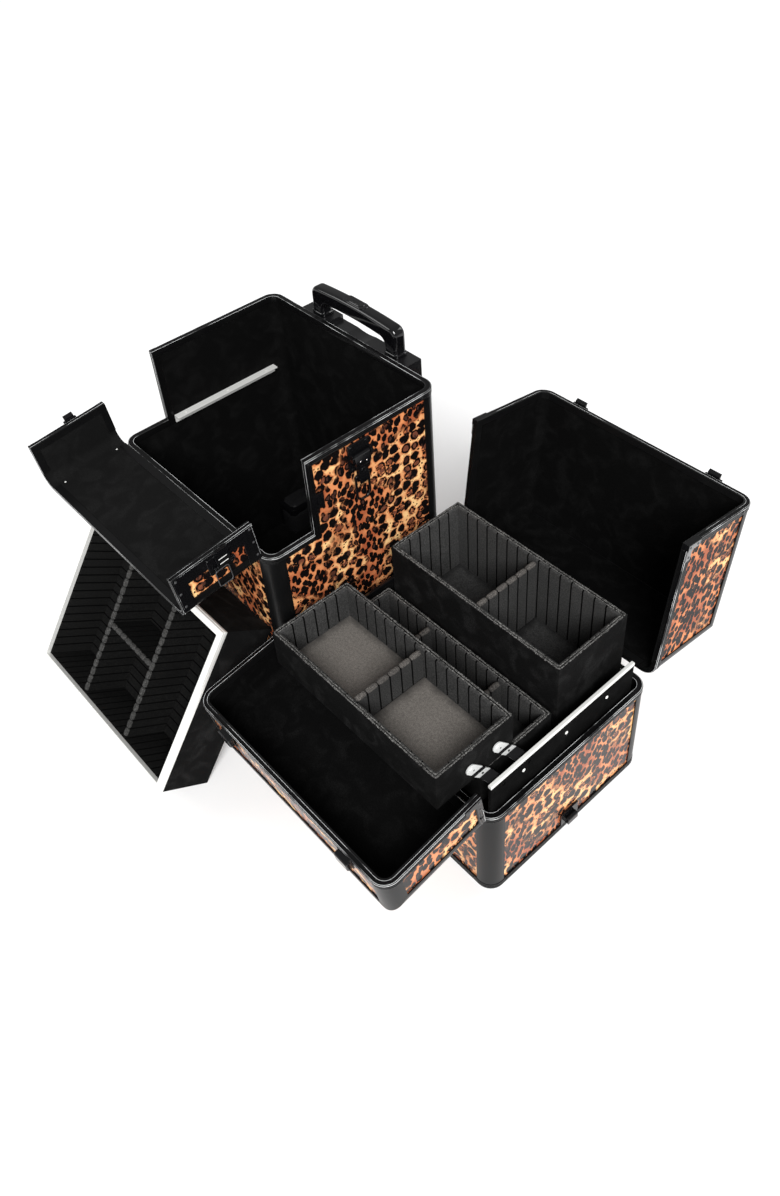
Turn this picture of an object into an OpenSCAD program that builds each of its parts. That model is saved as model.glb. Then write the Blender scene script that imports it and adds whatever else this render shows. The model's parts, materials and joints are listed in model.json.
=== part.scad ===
// Makeup train case in two stacking modules, shown unstacked and open:
// a wheeled lower case with a drop-down front flap, a lift-out tray and a
// telescopic handle, and an upper case with a lid, a front flap and trays.
// Millimetres, +Z up. Every hinged part is drawn closed and then swung open.

/* [Cases] */
// Width of both cases, along X
case_w = 350; // [320:1:380]
// Depth of both cases, along Y
case_d = 290; // [280:1:310]
// Radius of the rounded corner extrusions
corner_r = 20; // [18:1:24]
// Height of the lower case's rim above the floor
lower_h = 460; // [440:1:500]
// Height of the low front edge that the lower flap closes
flap_line = 343; // [330:1:350]
// Height of the upper case's body
upper_h = 160; // [150:1:170]
// Height of the lid and of the top flap
hood_h = 145; // [140:1:160]
// Depth of the front part that swings down, on both cases
front_part = 72; // [68:1:76]
// Distance between the two cases' middles along X
upper_x = 359; // [359:1:420]
// How far back the upper case stands
upper_y = 19; // [0:1:40]

/* [Open angles] */
// Opening of the lid
lid_open = 98.2; // [60:0.1:100]
// Opening of the top flap
top_flap_open = 98.8; // [60:0.1:100]
// Opening of the lower flap
lower_flap_open = 96.3; // [60:0.1:97]

/* [Trays] */
// Height of the front and middle swing trays
tray_h = 58; // [40:1:58]
// Height of the top edge of the front tray
front_tray_top = 265.5; // [265.5:0.5:270]
// Length of a swing arm between its holes
arm_len = 52; // [50:1:54]
// How far the front tray swings out
tray_travel = 66; // [60:1:68]
// Length of the lift-out tray
lift_len = 332; // [300:1:333]
// Width of the lift-out tray
lift_wid = 250; // [230:1:252]
// Height of the lift-out tray
lift_h = 85; // [70:1:90]
// Lean of the lift-out tray against the lower case, from upright
lift_lean = 35.6; // [30:0.1:36]

/* [Wheels and handle] */
// Radius of the rear wheels
wheel_r = 25; // [24:0.5:25]
// Clearance under the lower case
under = 22; // [20:1:22]
// Distance of a handle tube from the middle
tube_x = 78; // [70:1:80]
// Top of the folded handle grip
grip_top = 500; // [496:1:510]

/* [Hidden] */
$fn = 48;

black = "#18181a";
velvet = "#101011";
print_gold = "#c98a4b";
foam = "#3b3836";
silver = "#c9cbce";

// Middle of the whole group on the floor
stand_x = 180.5;
stand_y = -5.5;

half_w = case_w / 2;
half_d = case_d / 2;
gap = 0.1;          // joint between neighbouring pieces of one wall
rim_w = 8;          // width of the edge profiles
rim_h = 10;         // height of the edge profiles
post_t = 5.5;       // thickness of the corner extrusions
leg = 4;            // flat leg of a corner extrusion past its round
board_in = 1.5;     // boards sit this far inside the profiles' outer face
board_t = 4;
lining_out = post_t;
lining_in = 7.5;
part_gap = 0.5;     // play around the hinged parts
split_y = front_part - half_d;   // where the front part meets the rest
straight_x = half_w - corner_r - leg;   // end of the straight walls, X
straight_y = half_d - corner_r - leg;   // end of the straight walls, Y
hood_top = upper_h + hood_h;

hinge_out = 4.5;    // hinge axis in front of the wall
knuckle_r = 4;
pin_r = 1.5;
pin_play = 0.05;
hinge_x = 100;      // stations of the hinges

pocket_x = 151;     // middle of a wheel
wheel_y = 119.5;
wheel_w = 20;
axle_r = 4;
house_x = 130;      // inner face of a wheel housing
house_y = 86;
house_top = 80;

tube_y = 160;
sleeve_r = 10;
middle_r = 8.5;
inner_r = 7;
sleeve_wall = 1.4;
grip_r = 11;
handle_top = 457;

latch_y = 8;        // middle of the side latches
flap_latch_z = 393; // height of the lower flap's latches, closed
lid_latch_x = 110;  // the lid's latches and the top flap's catches
lever_x = 179.5;    // axis of a side latch lever
lever_z = 430;
loop_z = 396;       // axis of a side latch loop
loop_x = 177.8;
loop_end_z = 348;
loop_half = 14.2;
wire_r = 1.4;

tray_x0 = -154;
tray_x1 = 140;
shell_t = 3;
liner_t = 5;
divider_t = 7;
tray_w = 122;
front_tray_y = -195;
middle_tray_y = -127;
back_tray_y = 4.5;
back_tray_w = 124.5;
middle_tray_z = 147;
back_tray_z = 160;
back_tray_h = 116;
pivot_drop = 31;    // tray pivots below the tray's top edge
pivot_1 = 51;       // tray pivots behind the tray's front face
pivot_2 = 94;
arm_pin_r = 3;
panel_in = 159;     // inner face of the end panels
panel_out = 163;
panel_top = 205;
panel_front = -133;
panel_back = 123;
arm_angle = acos(tray_travel / 2 / arm_len);

// ---------- helpers ----------
module placed() {
    translate([-stand_x, -stand_y, 0]) children();
}

module upper() {
    placed() translate([upper_x, upper_y, 0]) children();
}

// Box between two corners
module span(lo, hi) {
    translate(lo) cube(hi - lo);
}

// The same piece on both sides of the middle
module both_sides() {
    children();
    mirror([1, 0, 0]) children();
}

module round_rect(w, d, r) {
    square([w - 2 * r, d], center = true);
    square([w, d - 2 * r], center = true);
    for (sx = [-1, 1], sy = [-1, 1])
        translate([sx * (w / 2 - r), sy * (d / 2 - r)]) circle(r);
}

// Plan of the case, moved in from its outer face
module plan(inset) {
    round_rect(case_w - 2 * inset, case_d - 2 * inset, corner_r - inset);
}

module plan_solid(inset, z0, z1) {
    translate([0, 0, z0]) linear_extrude(z1 - z0) plan(inset);
}

// Quarter-round corner section in the +x +y quarter, arc centre at the origin
module elbow_2d(t) {
    intersection() {
        difference() {
            circle(corner_r);
            circle(corner_r - t);
        }
        square(corner_r);
    }
    translate([-leg, corner_r - t]) square([leg, t]);
    translate([corner_r - t, -leg]) square([t, leg]);
}

// Corner extrusion on the +x side, front or back
module post(t, z0, z1, back) {
    mirror([0, back ? 0 : 1, 0])
        translate([half_w - corner_r, half_d - corner_r, z0])
            linear_extrude(z1 - z0) elbow_2d(t);
}

// Closed shape of the lid and the top flap together, moved in by inset
module hood(inset) {
    intersection() {
        plan_solid(inset, upper_h - 1, hood_top - inset);
        rotate([90, 0, 0])
            translate([0, upper_h, -half_d])
                linear_extrude(case_d)
                    intersection() {
                        round_rect(case_w - 2 * inset, 2 * (hood_h - inset), corner_r - inset);
                        translate([-half_w, -1]) square([case_w, hood_h + 1]);
                    }
    }
}

// Hinge stations along X; the axis is the X axis
module fixed_knuckles() {
    for (s = [-hinge_x, hinge_x], side = [0, 1])
        translate([s, 0, 0]) mirror([side, 0, 0]) {
            difference() {
                union() {
                    translate([7.1, 0, 0]) rotate([0, 90, 0]) cylinder(r = knuckle_r, h = 12.9);
                    span([7.1, 2, -12], [20, hinge_out, 0]);
                }
                translate([7, 0, 0]) rotate([0, 90, 0]) cylinder(r = pin_r + pin_play, h = 14);
            }
        }
}

module moving_knuckles() {
    for (s = [-hinge_x, hinge_x])
        translate([s, 0, 0]) {
            translate([-6.9, 0, 0]) rotate([0, 90, 0]) cylinder(r = knuckle_r, h = 13.8);
            translate([-19.5, 0, 0]) rotate([0, 90, 0]) cylinder(r = pin_r, h = 39);
            span([-6.9, 2, 0], [6.9, hinge_out, 13]);
        }
}

// ---------- lower case ----------
module wheel_notches() {
    both_sides()
        span([house_x - gap, house_y - gap, 0], [half_w + 1, half_d + 1, house_top + gap]);
}

module lower_floor_board() {
    color(black) placed() difference() {
        plan_solid(rim_w + gap, under + 6 - gap, under + rim_h - gap);
        wheel_notches();
    }
}

module lower_wall_boards() {
    color(print_gold) placed() {
        difference() {
            span([-straight_x + gap, half_d - board_in - board_t, under + rim_h + gap],
                 [straight_x - gap, half_d - board_in, lower_h - rim_h - gap]);
            wheel_notches();
        }
        span([-straight_x + gap, board_in - half_d, under + rim_h + gap],
             [straight_x - gap, board_in + board_t - half_d, flap_line - rim_h - gap]);
        both_sides() difference() {
            span([half_w - board_in - board_t, gap - straight_y, under + rim_h + gap],
                 [half_w - board_in, straight_y - gap, lower_h - rim_h - gap]);
            span([0, -half_d, flap_line - rim_h - gap],
                 [half_w, split_y + rim_h + gap, lower_h]);
            wheel_notches();
        }
    }
}

module lower_lining() {
    color(velvet) placed() difference() {
        plan_solid(lining_out, under + rim_h, lower_h - rim_h - gap);
        plan_solid(lining_in, under + rim_h + 1.6, lower_h);
        span([-half_w, -half_d, flap_line - rim_h - gap],
             [half_w, split_y + rim_h + gap, lower_h]);
        wheel_notches();
    }
}

module lower_corner_frame() {
    color(black) placed() both_sides() {
        post(post_t, house_top + gap, lower_h - rim_h - gap, true);
        post(post_t, under + rim_h + gap, flap_line - rim_h - gap, false);
        post(rim_w, under, under + rim_h, false);
        span([half_w - rim_w, gap - straight_y, under], [half_w, house_y - gap, under + rim_h]);
        span([gap / 2, half_d - rim_w, under], [house_x - gap, half_d, under + rim_h]);
        span([gap / 2, -half_d, under], [straight_x - gap, rim_w - half_d, under + rim_h]);
    }
}

module lower_rim_profiles() {
    high = lower_h - rim_h;
    low = flap_line - rim_h;
    color(black) placed() {
        span([gap - straight_x, half_d - rim_w, high], [straight_x - gap, half_d, lower_h]);
        span([gap - straight_x, -half_d, low], [straight_x - gap, rim_w - half_d, flap_line]);
        both_sides() {
            post(rim_w, high, lower_h, true);
            post(rim_w, low, flap_line, false);
            span([half_w - rim_w, split_y, high], [half_w, straight_y - gap, lower_h]);
            span([half_w - rim_w, split_y, low], [half_w, split_y + rim_h, high - gap]);
            span([half_w - rim_w, gap - straight_y, low], [half_w, split_y - gap, flap_line]);
        }
        translate([0, -half_d - hinge_out, flap_line]) fixed_knuckles();
    }
}

module tray_rails() {
    rail_top = flap_line + 3;
    color(silver) placed() both_sides() {
        span([half_w - 18, -62, rail_top - 2], [half_w - lining_in, 118, rail_top]);
        span([half_w - 9.5, -62, rail_top - 12], [half_w - lining_in, 118, rail_top - 2]);
    }
}

module wheel_housings() {
    color(black) placed() both_sides() difference() {
        intersection() {
            plan_solid(0, under, house_top);
            translate([house_x, house_y, under])
                linear_extrude(house_top - under)
                    translate([100, 100]) round_rect(200, 200, 12);
        }
        translate([pocket_x - wheel_w / 2 - 2, wheel_y, wheel_r]) {
            rotate([0, 90, 0]) cylinder(r = wheel_r + 3, h = wheel_w + 4);
            span([0, -wheel_r - 3, -wheel_r - 1], [wheel_w + 4, wheel_r + 3, 0]);
        }
        translate([house_x + 3, wheel_y, wheel_r])
            rotate([0, 90, 0]) cylinder(r = axle_r + 0.03, h = 60);
    }
}

module wheel_axles() {
    color(silver) placed() both_sides()
        translate([house_x + 3.5, wheel_y, wheel_r])
            rotate([0, 90, 0]) cylinder(r = axle_r, h = half_w - house_x - 4.5);
}

// Wheel on the +x side
module wheel() {
    translate([pocket_x, wheel_y, wheel_r]) rotate([0, 90, 0]) difference() {
        cylinder(r = wheel_r, h = wheel_w, center = true);
        cylinder(r = axle_r + pin_play, h = wheel_w + 2, center = true);
        for (s = [-1, 1])
            translate([0, 0, s * (wheel_w / 2 - 1)]) difference() {
                cylinder(r = wheel_r - 7, h = 3, center = true);
                cylinder(r = axle_r + 4, h = 4, center = true);
            }
    }
}

module left_wheel() {
    color(black) placed() mirror([1, 0, 0]) wheel();
}

module right_wheel() {
    color(black) placed() wheel();
}

module front_feet() {
    color(black) placed() both_sides() translate([140, -112, 0]) {
        cylinder(r1 = 12, r2 = 15, h = 8);
        translate([0, 0, 8]) cylinder(r = 15, h = under + 6 - gap - 8);
    }
}

// ---------- telescopic handle ----------
module handle_housing() {
    color(black) placed() difference() {
        union() {
            span([-112, half_d + gap, handle_top - 37], [112, tube_y + 15, handle_top - 7]);
            both_sides() span([52, half_d + gap, handle_top - 7], [112, tube_y + 15, handle_top]);
            span([-95, half_d + gap, 55], [95, tube_y + 12, 75]);
        }
        both_sides() translate([tube_x, tube_y, 60])
            cylinder(r = sleeve_r + 0.05, h = lower_h);
        translate([0, tube_y, handle_top + 79])
            rotate([90, 0, 0]) cylinder(r = 88, h = 60, center = true, $fn = 96);
    }
}

module tube(r, z0, z1) {
    translate([tube_x, tube_y, z0]) difference() {
        cylinder(r = r, h = z1 - z0);
        translate([0, 0, -1]) cylinder(r = r - sleeve_wall, h = z1 - z0 + 2);
    }
}

module handle_sleeves() {
    color(black) placed() both_sides() tube(sleeve_r, 60 + gap, handle_top - 1);
}

module handle_middle_tubes() {
    color(silver) placed() both_sides() tube(middle_r, 66, handle_top + 1);
}

module handle_inner_tubes() {
    color(silver) placed() both_sides() tube(inner_r, 72, grip_top - 34);
}

module button_plan(r) {
    square([22, 2 * r], center = true);
    for (s = [-1, 1]) translate([11 * s, 0]) circle(r);
}

module handle_grip() {
    bar_z = grip_top - grip_r;
    color(black) placed() difference() {
        union() {
            translate([0, tube_y, bar_z])
                rotate([0, 90, 0]) cylinder(r = grip_r, h = 2 * tube_x, center = true);
            both_sides() translate([tube_x, tube_y, bar_z]) {
                sphere(r = grip_r);
                mirror([0, 0, 1]) cylinder(r = grip_r, h = bar_z - handle_top - 2);
            }
        }
        both_sides() translate([tube_x, tube_y, handle_top])
            cylinder(r = inner_r + 0.03, h = grip_top - 34 - handle_top + 0.1);
        translate([0, tube_y, grip_top - 11]) linear_extrude(20) button_plan(6.4);
    }
}

module release_button() {
    color(black) placed() translate([0, tube_y, grip_top - 6.5])
        linear_extrude(7.5) button_plan(6);
}

// ---------- latches on the lower case ----------
module side_latch_plates() {
    color(black) placed() both_sides() translate([0, latch_y, 0]) {
        span([half_w - board_in + gap, -17, 404], [half_w + 0.8, 17, 446]);
        for (s = [-1, 1]) difference() {
            translate([0, s * 14.8, 0])
                span([half_w + 0.8, -1.7, lever_z - 5], [lever_x + 4, 1.7, lever_z + 5]);
            translate([lever_x, 0, lever_z])
                rotate([90, 0, 0]) cylinder(r = 1.5 + pin_play, h = 40, center = true);
        }
    }
}

// Lever on the +x side
module side_lever() {
    translate([0, latch_y, 0]) difference() {
        union() {
            translate([lever_x, 0, lever_z]) rotate([90, 0, 0]) {
                cylinder(r = 3.2, h = 25.6, center = true);
                cylinder(r = 1.5, h = 32.6, center = true);
            }
            span([lever_x - 2.9, -12.4, 390], [lever_x + 0.1, 12.4, lever_z]);
            span([lever_x - 2.9, -8, 384], [lever_x + 0.1, 8, 390]);
        }
        translate([loop_x, 0, loop_z])
            rotate([90, 0, 0]) cylinder(r = wire_r + pin_play, h = 30, center = true);
    }
}

// Wire loop on the +x side
module side_loop() {
    reach = loop_half + wire_r;
    translate([loop_x, latch_y, 0]) {
        for (z = [loop_z, loop_end_z])
            translate([0, 0, z])
                rotate([90, 0, 0]) cylinder(r = wire_r, h = 2 * reach, center = true);
        for (s = [-1, 1])
            translate([0, s * loop_half, loop_end_z])
                cylinder(r = wire_r - 0.15, h = loop_z - loop_end_z);
    }
}

module left_side_lever() {
    color(black) placed() mirror([1, 0, 0]) side_lever();
}

module right_side_lever() {
    color(black) placed() side_lever();
}

module left_side_loop() {
    color(black) placed() mirror([1, 0, 0]) side_loop();
}

module right_side_loop() {
    color(black) placed() side_loop();
}

module lower_flap_catches() {
    color(black) placed() both_sides() translate([0, split_y, flap_latch_z]) {
        span([half_w + gap, 2, -11], [half_w + 2, 20, 11]);
        span([half_w + 2, 9, -8], [half_w + 5, 13, 8]);
    }
}

// ---------- lower flap ----------
module lower_flap_place() {
    placed() translate([0, -half_d - hinge_out, flap_line])
        rotate([lower_flap_open, 0, 0])
            translate([0, half_d + hinge_out, -flap_line]) children();
}

module lower_flap_boards() {
    bottom = flap_line + part_gap + rim_h + gap;
    top = lower_h - part_gap - rim_h - gap;
    color(print_gold) lower_flap_place() {
        span([gap - straight_x, board_in - half_d, bottom],
             [straight_x - gap, board_in + board_t - half_d, top]);
        both_sides()
            span([half_w - board_in - board_t, gap - straight_y, bottom],
                 [half_w - board_in, split_y - part_gap - rim_h - gap, top]);
    }
}

module lower_flap_frame() {
    bottom = flap_line + part_gap;
    top = lower_h - part_gap;
    edge = split_y - part_gap;
    color(black) lower_flap_place() {
        for (z = [bottom, top - rim_h]) {
            span([gap - straight_x, -half_d, z], [straight_x - gap, rim_w - half_d, z + rim_h]);
            both_sides()
                span([half_w - rim_w, gap - straight_y, z],
                     [half_w, edge - rim_h - gap, z + rim_h]);
        }
        both_sides() {
            post(post_t, bottom, top, false);
            span([half_w - rim_w, edge - rim_h, bottom], [half_w, edge, top]);
        }
        translate([0, -half_d - hinge_out, flap_line]) moving_knuckles();
    }
}

flap_lever_y = split_y - 24;   // axis of a flap latch lever, closed

module lower_flap_latch_plates() {
    color(black) lower_flap_place() both_sides() translate([0, flap_lever_y, flap_latch_z]) {
        span([half_w - board_in + gap, -13, -16], [half_w + 0.6, 13, 16]);
        for (s = [-1, 1]) difference() {
            translate([half_w + 3.2, 0, s * 14 - 1.5]) {
                cylinder(r = 2.8, h = 3);
                span([-2.6, -2.8, 0], [0, 2.8, 3]);
            }
            translate([half_w + 3.2, 0, s * 14 - 2]) cylinder(r = 1.2 + pin_play, h = 4);
        }
    }
}

// Toggle lever of the lower flap on the +x side
module flap_lever() {
    translate([half_w + 3.2, flap_lever_y, flap_latch_z]) {
        cylinder(r = 2.5, h = 24.6, center = true);
        cylinder(r = 1.2, h = 30.6, center = true);
        span([-0.8, 0, -12.2], [1.8, 24, 12.2]);
        span([-0.8, 24, -7], [1.8, 31, 7]);
    }
}

module left_flap_latch() {
    color(black) lower_flap_place() mirror([1, 0, 0]) flap_lever();
}

module right_flap_latch() {
    color(black) lower_flap_place() flap_lever();
}

// ---------- trays ----------
// Open box with its lowest corner at the origin
module tub(size, wall, base) {
    difference() {
        cube(size);
        translate([wall, wall, base]) cube([size.x - 2 * wall, size.y - 2 * wall, size.z]);
    }
}

module lift_tray_place() {
    edge_y = -half_d - 1.5 - lift_wid * sin(lift_lean);
    placed() translate([-15 - lift_len / 2, edge_y, 0])
        rotate([90 - lift_lean, 0, 0]) children();
}

lift_frame_h = 8;
lift_frame_w = 10;

module lift_tray_shell() {
    color(black) lift_tray_place()
        translate([1, 0, 0])
            tub([lift_len - 2, lift_wid, lift_h - lift_frame_h - gap], 4, 4);
}

module lift_tray_frame() {
    color(silver) lift_tray_place() translate([0, 0, lift_h - lift_frame_h]) difference() {
        cube([lift_len, lift_wid, lift_frame_h]);
        translate([lift_frame_w, lift_frame_w, -1])
            cube([lift_len - 2 * lift_frame_w, lift_wid - 2 * lift_frame_w, 20]);
    }
}

module lift_tray_liner() {
    color(foam) lift_tray_place() translate([5 + gap, 4 + gap, 4 + gap])
        tub([lift_len - 10.2, lift_wid - 8.2, lift_h - lift_frame_h - 4.4], 6, 3);
}

module lift_tray_dividers() {
    lo = 10 + 3 * gap;
    top = lift_h - 9.5;
    color(foam) lift_tray_place() {
        for (k = [1, 2])
            translate([lift_len * k / 3, 0, 0])
                span([-divider_t / 2, lo, 7.3], [divider_t / 2, lift_wid - lo, top]);
        span([lift_len / 3 + divider_t / 2 + gap, (lift_wid - divider_t) / 2, 7.3],
             [lift_len * 2 / 3 - divider_t / 2 - gap, (lift_wid + divider_t) / 2, top]);
    }
}

// Outer case of a tray in the upper case, lowest corner given
module tray_shell(y, z, w, h) {
    translate([tray_x0, y, z]) tub([tray_x1 - tray_x0, w, h], shell_t, shell_t);
}

module tray_liner(y, z, w, h) {
    out = shell_t + gap;
    translate([tray_x0 + out, y + out, z + out])
        tub([tray_x1 - tray_x0 - 2 * out, w - 2 * out, h - out - 0.8], liner_t, 3);
}

module tray_dividers(y, z, w, h, at) {
    side = shell_t + liner_t + 2 * gap;
    for (x = at)
        span([x - divider_t / 2, y + side, z + 6.3], [x + divider_t / 2, y + w - side, z + h - 4]);
}

front_tray_z = front_tray_top - tray_h;
pivot_z = front_tray_top - pivot_drop;

// Holes for the arms' pins through both end walls of the front tray
module arm_holes() {
    for (p = [pivot_1, pivot_2])
        translate([0, front_tray_y + p, pivot_z])
            rotate([0, 90, 0]) cylinder(r = arm_pin_r + pin_play, h = case_w, center = true);
}

module front_tray_shell() {
    color(velvet) upper() difference() {
        tray_shell(front_tray_y, front_tray_z, tray_w, tray_h);
        arm_holes();
    }
}

module front_tray_liner() {
    color(foam) upper() tray_liner(front_tray_y, front_tray_z, tray_w, tray_h);
}

module front_tray_divider() {
    color(foam) upper() tray_dividers(front_tray_y, front_tray_z, tray_w, tray_h, [-6]);
}

module middle_tray_shell() {
    color(velvet) upper() {
        tray_shell(middle_tray_y, middle_tray_z, tray_w, tray_h);
        tray_ledges(middle_tray_y + 20, middle_tray_y + tray_w - 20);
    }
}

module middle_tray_liner() {
    color(foam) upper() tray_liner(middle_tray_y, middle_tray_z, tray_w, tray_h);
}

module middle_tray_dividers() {
    color(foam) upper() tray_dividers(middle_tray_y, middle_tray_z, tray_w, tray_h, [-65, 61]);
}

module back_tray_shell() {
    color(velvet) upper() {
        tray_shell(back_tray_y, back_tray_z, back_tray_w, back_tray_h);
        tray_ledges(back_tray_y + 20, back_tray_y + 90);
    }
}

module back_tray_liner() {
    color(foam) upper() tray_liner(back_tray_y, back_tray_z, back_tray_w, back_tray_h);
}

module back_tray_divider() {
    color(foam) upper() tray_dividers(back_tray_y, back_tray_z, back_tray_w, back_tray_h, [-3]);
}

// Hanging flanges between a fixed tray and the end panels
module tray_ledges(y0, y1) {
    span([tray_x1, y0, 164], [panel_in - gap, y1, 167]);
    span([gap - panel_in, y0, 164], [tray_x0, y1, 167]);
}

// Swing arm in the plane of the end walls: plate, pin into the tray, pin into the panel
module swing_arm(pivot, tray_face) {
    mid = (tray_face + panel_in) / 2;
    translate([0, front_tray_y + pivot, pivot_z]) {
        rotate([90 - arm_angle, 0, 0]) mirror([0, 0, 1])
            translate([mid - 1, 0, 0]) {
                span([0, -7, 0], [2, 7, arm_len]);
                for (z = [0, arm_len])
                    translate([0, 0, z]) rotate([0, 90, 0]) cylinder(r = 7, h = 2);
            }
        translate([tray_face - shell_t + 0.3, 0, 0])
            rotate([0, 90, 0]) cylinder(r = arm_pin_r, h = mid - tray_face + shell_t);
        translate([tray_face + 0.3, 0, 0])
            rotate([0, 90, 0]) cylinder(r = 5, h = mid - tray_face);
        translate([0, tray_travel / 2, -arm_len * sin(arm_angle)]) {
            translate([mid, 0, 0])
                rotate([0, 90, 0]) cylinder(r = arm_pin_r, h = panel_out - mid - 0.3);
            translate([mid, 0, 0])
                rotate([0, 90, 0]) cylinder(r = 5, h = panel_in - mid - 0.3);
        }
    }
}

module arm_pair(pivot) {
    swing_arm(pivot, tray_x1);
    mirror([1, 0, 0]) swing_arm(pivot, -tray_x0);
}

module front_swing_arms() {
    color(silver) upper() arm_pair(pivot_1);
}

module rear_swing_arms() {
    color(silver) upper() arm_pair(pivot_2);
}

// ---------- upper case ----------
module upper_boards() {
    bottom = rim_h + gap;
    top = upper_h - rim_h - gap;
    color(print_gold) upper() {
        plan_solid(rim_w + gap, 6 - gap, rim_h - gap);
        for (s = [0, 1]) mirror([0, s, 0])
            span([gap - straight_x, half_d - board_in - board_t, bottom],
                 [straight_x - gap, half_d - board_in, top]);
        both_sides()
            span([half_w - board_in - board_t, gap - straight_y, bottom],
                 [half_w - board_in, straight_y - gap, top]);
    }
}

module upper_lining() {
    color(velvet) upper() difference() {
        plan_solid(lining_out, rim_h, upper_h - rim_h - gap);
        plan_solid(lining_in, rim_h + 1.6, upper_h);
    }
}

// Straight profiles and corners of one ring around the case
module ring(z) {
    for (s = [0, 1]) mirror([0, s, 0]) {
        span([gap - straight_x, half_d - rim_w, z], [straight_x - gap, half_d, z + rim_h]);
        both_sides() post(rim_w, z, z + rim_h, true);
    }
    both_sides()
        span([half_w - rim_w, gap - straight_y, z], [half_w, straight_y - gap, z + rim_h]);
}

module upper_corner_frame() {
    color(black) upper() {
        ring(0);
        for (back = [true, false]) both_sides()
            post(post_t, rim_h + gap, upper_h - rim_h - gap, back);
    }
}

module upper_rim_profiles() {
    color(black) upper() {
        ring(upper_h - rim_h);
        translate([0, -half_d - hinge_out, upper_h]) fixed_knuckles();
        translate([0, half_d + hinge_out, upper_h]) mirror([0, 1, 0]) fixed_knuckles();
    }
}

module end_panels() {
    color(black) upper() both_sides() difference() {
        union() {
            span([panel_in, panel_front, rim_h + 1.7], [panel_out, panel_back, panel_top]);
            span([panel_out, -100, rim_h + 15], [half_w - lining_in - gap, 100, upper_h - 20]);
        }
        for (p = [pivot_1, pivot_2])
            translate([0, front_tray_y + p + tray_travel / 2, pivot_z - arm_len * sin(arm_angle)])
                rotate([0, 90, 0]) cylinder(r = arm_pin_r + pin_play, h = case_w);
    }
}

module end_panel_strips() {
    color(silver) upper() both_sides() difference() {
        union() {
            span([panel_in - 1.5, panel_front, panel_top - 3],
                [panel_out + 1.5, panel_back, panel_top + 5]);
            span([panel_in - 1.5, panel_front - 2, panel_top - 16],
                [panel_out + 1.5, panel_front, panel_top + 5]);
        }
        span([panel_in - gap, panel_front, 0], [panel_out + gap, panel_back + 1, panel_top + gap]);
    }
}

module upper_hasps() {
    color(black) upper() both_sides() {
        span([half_w - board_in + gap, -16, 12], [half_w + 1.5, 16, 34]);
        span([half_w + 1.5, -9, 14], [half_w + 8, 9, 21]);
        translate([half_w + 4.5, 0, 21]) rotate([90, 0, 0]) cylinder(r = 3.5, h = 18, center = true);
    }
}

// ---------- lid and top flap ----------
// Frame of a hinged half: wall at +y, free edge at edge_y
module hood_frame(edge_y) {
    bottom = upper_h + part_gap;
    wall_top = hood_top - corner_r - leg;
    inner_y = edge_y + rim_h + gap;
    span([gap - straight_x, half_d - rim_w, bottom], [straight_x - gap, half_d, bottom + rim_h]);
    span([gap - straight_x, half_d - rim_w, hood_top - rim_w], [straight_x - gap, half_d, hood_top]);
    span([gap - straight_x, edge_y, hood_top - rim_w], [straight_x - gap, edge_y + rim_h, hood_top]);
    both_sides() {
        span([half_w - rim_w, inner_y, bottom], [half_w, straight_y - gap, bottom + rim_h]);
        span([half_w - rim_w, edge_y, bottom], [half_w, edge_y + rim_h, wall_top - gap]);
        translate([half_w - corner_r, edge_y, hood_top - corner_r]) rotate([90, 0, 0])
            mirror([0, 0, 1]) linear_extrude(rim_h) elbow_2d(rim_w);
        translate([half_w - corner_r, inner_y, hood_top - corner_r]) rotate([90, 0, 0])
            mirror([0, 0, 1]) linear_extrude(straight_y - gap - inner_y) elbow_2d(post_t);
        difference() {
            intersection() {
                hood(0);
                span([straight_x, straight_y, bottom], [half_w, half_d, hood_top]);
            }
            hood(post_t);
        }
    }
}

module hood_boards(edge_y) {
    bottom = upper_h + part_gap + rim_h + gap;
    inner_y = edge_y + rim_h + gap;
    span([gap - straight_x, half_d - board_in - board_t, bottom],
         [straight_x - gap, half_d - board_in, hood_top - rim_w - gap]);
    span([gap - straight_x, inner_y, hood_top - board_in - board_t],
         [straight_x - gap, half_d - rim_w - gap, hood_top - board_in]);
    both_sides()
        span([half_w - board_in - board_t, inner_y, bottom],
             [half_w - board_in, straight_y - gap, hood_top - corner_r - leg - gap]);
}

module lid_place() {
    upper() translate([0, half_d + hinge_out, upper_h])
        rotate([-lid_open, 0, 0])
            translate([0, -half_d - hinge_out, -upper_h]) children();
}

module top_flap_place() {
    upper() translate([0, -half_d - hinge_out, upper_h])
        rotate([top_flap_open, 0, 0])
            translate([0, half_d + hinge_out, -upper_h]) children();
}

module lid_boards() {
    color(print_gold) lid_place() hood_boards(split_y + part_gap);
}

module lid_frame() {
    color(black) lid_place() {
        hood_frame(split_y + part_gap);
        translate([0, half_d + hinge_out, upper_h]) mirror([0, 1, 0]) moving_knuckles();
    }
}

module top_flap_boards() {
    color(print_gold) top_flap_place() mirror([0, 1, 0]) hood_boards(part_gap - split_y);
}

module top_flap_frame() {
    color(black) top_flap_place() {
        mirror([0, 1, 0]) hood_frame(part_gap - split_y);
        translate([0, -half_d - hinge_out, upper_h]) moving_knuckles();
    }
}

lid_lever_y = split_y + 26;    // axis of a lid latch lever, closed
lid_lever_z = hood_top + 4;

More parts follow.
